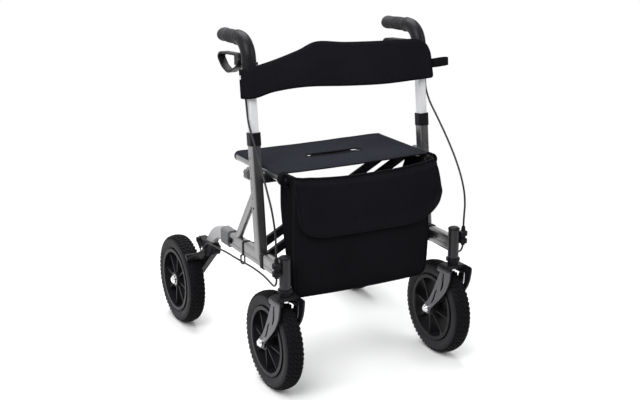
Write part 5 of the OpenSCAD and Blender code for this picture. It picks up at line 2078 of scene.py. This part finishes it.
    def loose(self, steps: int, share: float) -> float:
        """How far the right end stands off the post, counted in steps back from the end."""
        return self.flare * smooth((steps + 15) / 12.0) * (1.0 - 0.6 * share)

    def edge(self, line: Line, share: float, out: float, full: bool = True) -> Path:
        """Line along the band at a share of its height.

        Args:
            line: Middle line of the band or of a stretch of it.
            share: The share of the height.
            out: How far the line stands out from the middle.
            full: Whether the line is the whole band's, with its loose right end.

        Returns:
            Points of the line.
        """
        path = []
        for i, (x, y) in enumerate(line):
            normal = self.normal(line, i)
            off = out + (self.loose(i - len(line), share) if full else 0.0)
            path.append(on_post(x + normal.x * off, y + normal.y * off, self.height(x, share)))
        return path

    def sewing(self, line: Line) -> Piece:
        """Stitching beside the piped edges.

        Args:
            line: Middle line between the posts.

        Returns:
            The object.
        """
        rows = [Bench.stitches("row", self.edge(line[2:-5], share, self.thickness / 2 + 0.0007, False))
                for share in (0.075, 0.925)]
        piece = Bench.join("back_band_stitching", rows)
        return Bench.dress(piece, "band_cloth", "left_handle", finish=Finishes.THREAD)


@dataclass
class StickStrap:
    """Webbing loop that holds a walking stick beside the right handle."""

    low: float = 0.429
    width: float = 0.020
    thickness: float = 0.002
    length_x: float = 0.049
    length_y: float = 0.040
    corner: float = 0.017
    hug: float = 0.0278
    turn: float = math.radians(-14.0)
    tilt: float = 0.09

    def build(self) -> None:
        """Makes the loop with its lapped end."""
        half_x, half_y = self.length_x / 2 - self.thickness / 2, self.length_y / 2 - self.thickness / 2
        r = self.corner - self.thickness / 2
        loop = []
        for cx, cy, start in ((half_x - r, half_y - r, 0), (r - half_x, half_y - r, 90),
                              (r - half_x, r - half_y, 180), (half_x - r, r - half_y, 270)):
            for k in range(7):
                angle = math.radians(start + 15 * k)
                loop.append((cx + r * math.cos(angle), cy + r * math.sin(angle)))
        middle = self.low + self.width / 2
        path = [self.spot(x, y, middle) for x, y in loop]
        up = (on_post(0, 0, 1.0) - on_post(0, 0, 0.0)).normalized()
        strap = Bench.ribbon("stick_loop", path, self.width, self.thickness, up, closed=True)
        over = [p + (p - self.spot(0, 0, middle)).normalized() * 0.0018 for p in path[8:14]]
        lap = Bench.ribbon("lap", over, self.width, 0.0016, up)
        piece = Bench.join("stick_loop", [strap, lap])
        Bench.dress(piece, "webbing", "right_handle", ["stick_strap"])
        path_length(path + path[:1])

    def spot(self, x: float, y: float, along: float) -> Vector:
        """Point of the loop, turned forward beside the post.

        Args:
            x: Distance across from the loop's middle.
            y: Distance behind it.
            along: Distance up the post.

        Returns:
            The point.
        """
        px = self.hug + self.length_x / 2 + x
        cosine, sine = math.cos(self.turn), math.sin(self.turn)
        lift = self.tilt * (px - self.hug)
        return on_post(FRAME_X + px * cosine - y * sine, px * sine + y * cosine, along + lift)


def main() -> None:
    """Builds the sub-assemblies in order."""
    logging.basicConfig(level=logging.INFO, format="%(name)s: %(message)s")
    Studio().build()
    SolidNodes().dress()
    Tyres().build()
    for side in Side:
        BrakeCable(side).build()
        Grip(side).build()
        Fasteners(side).build()
    SeatCloth().build()
    Bag().build()
    BagFlap().build()
    BackBand().build()
    StickStrap().build()


if __name__ == "__main__":
    main()
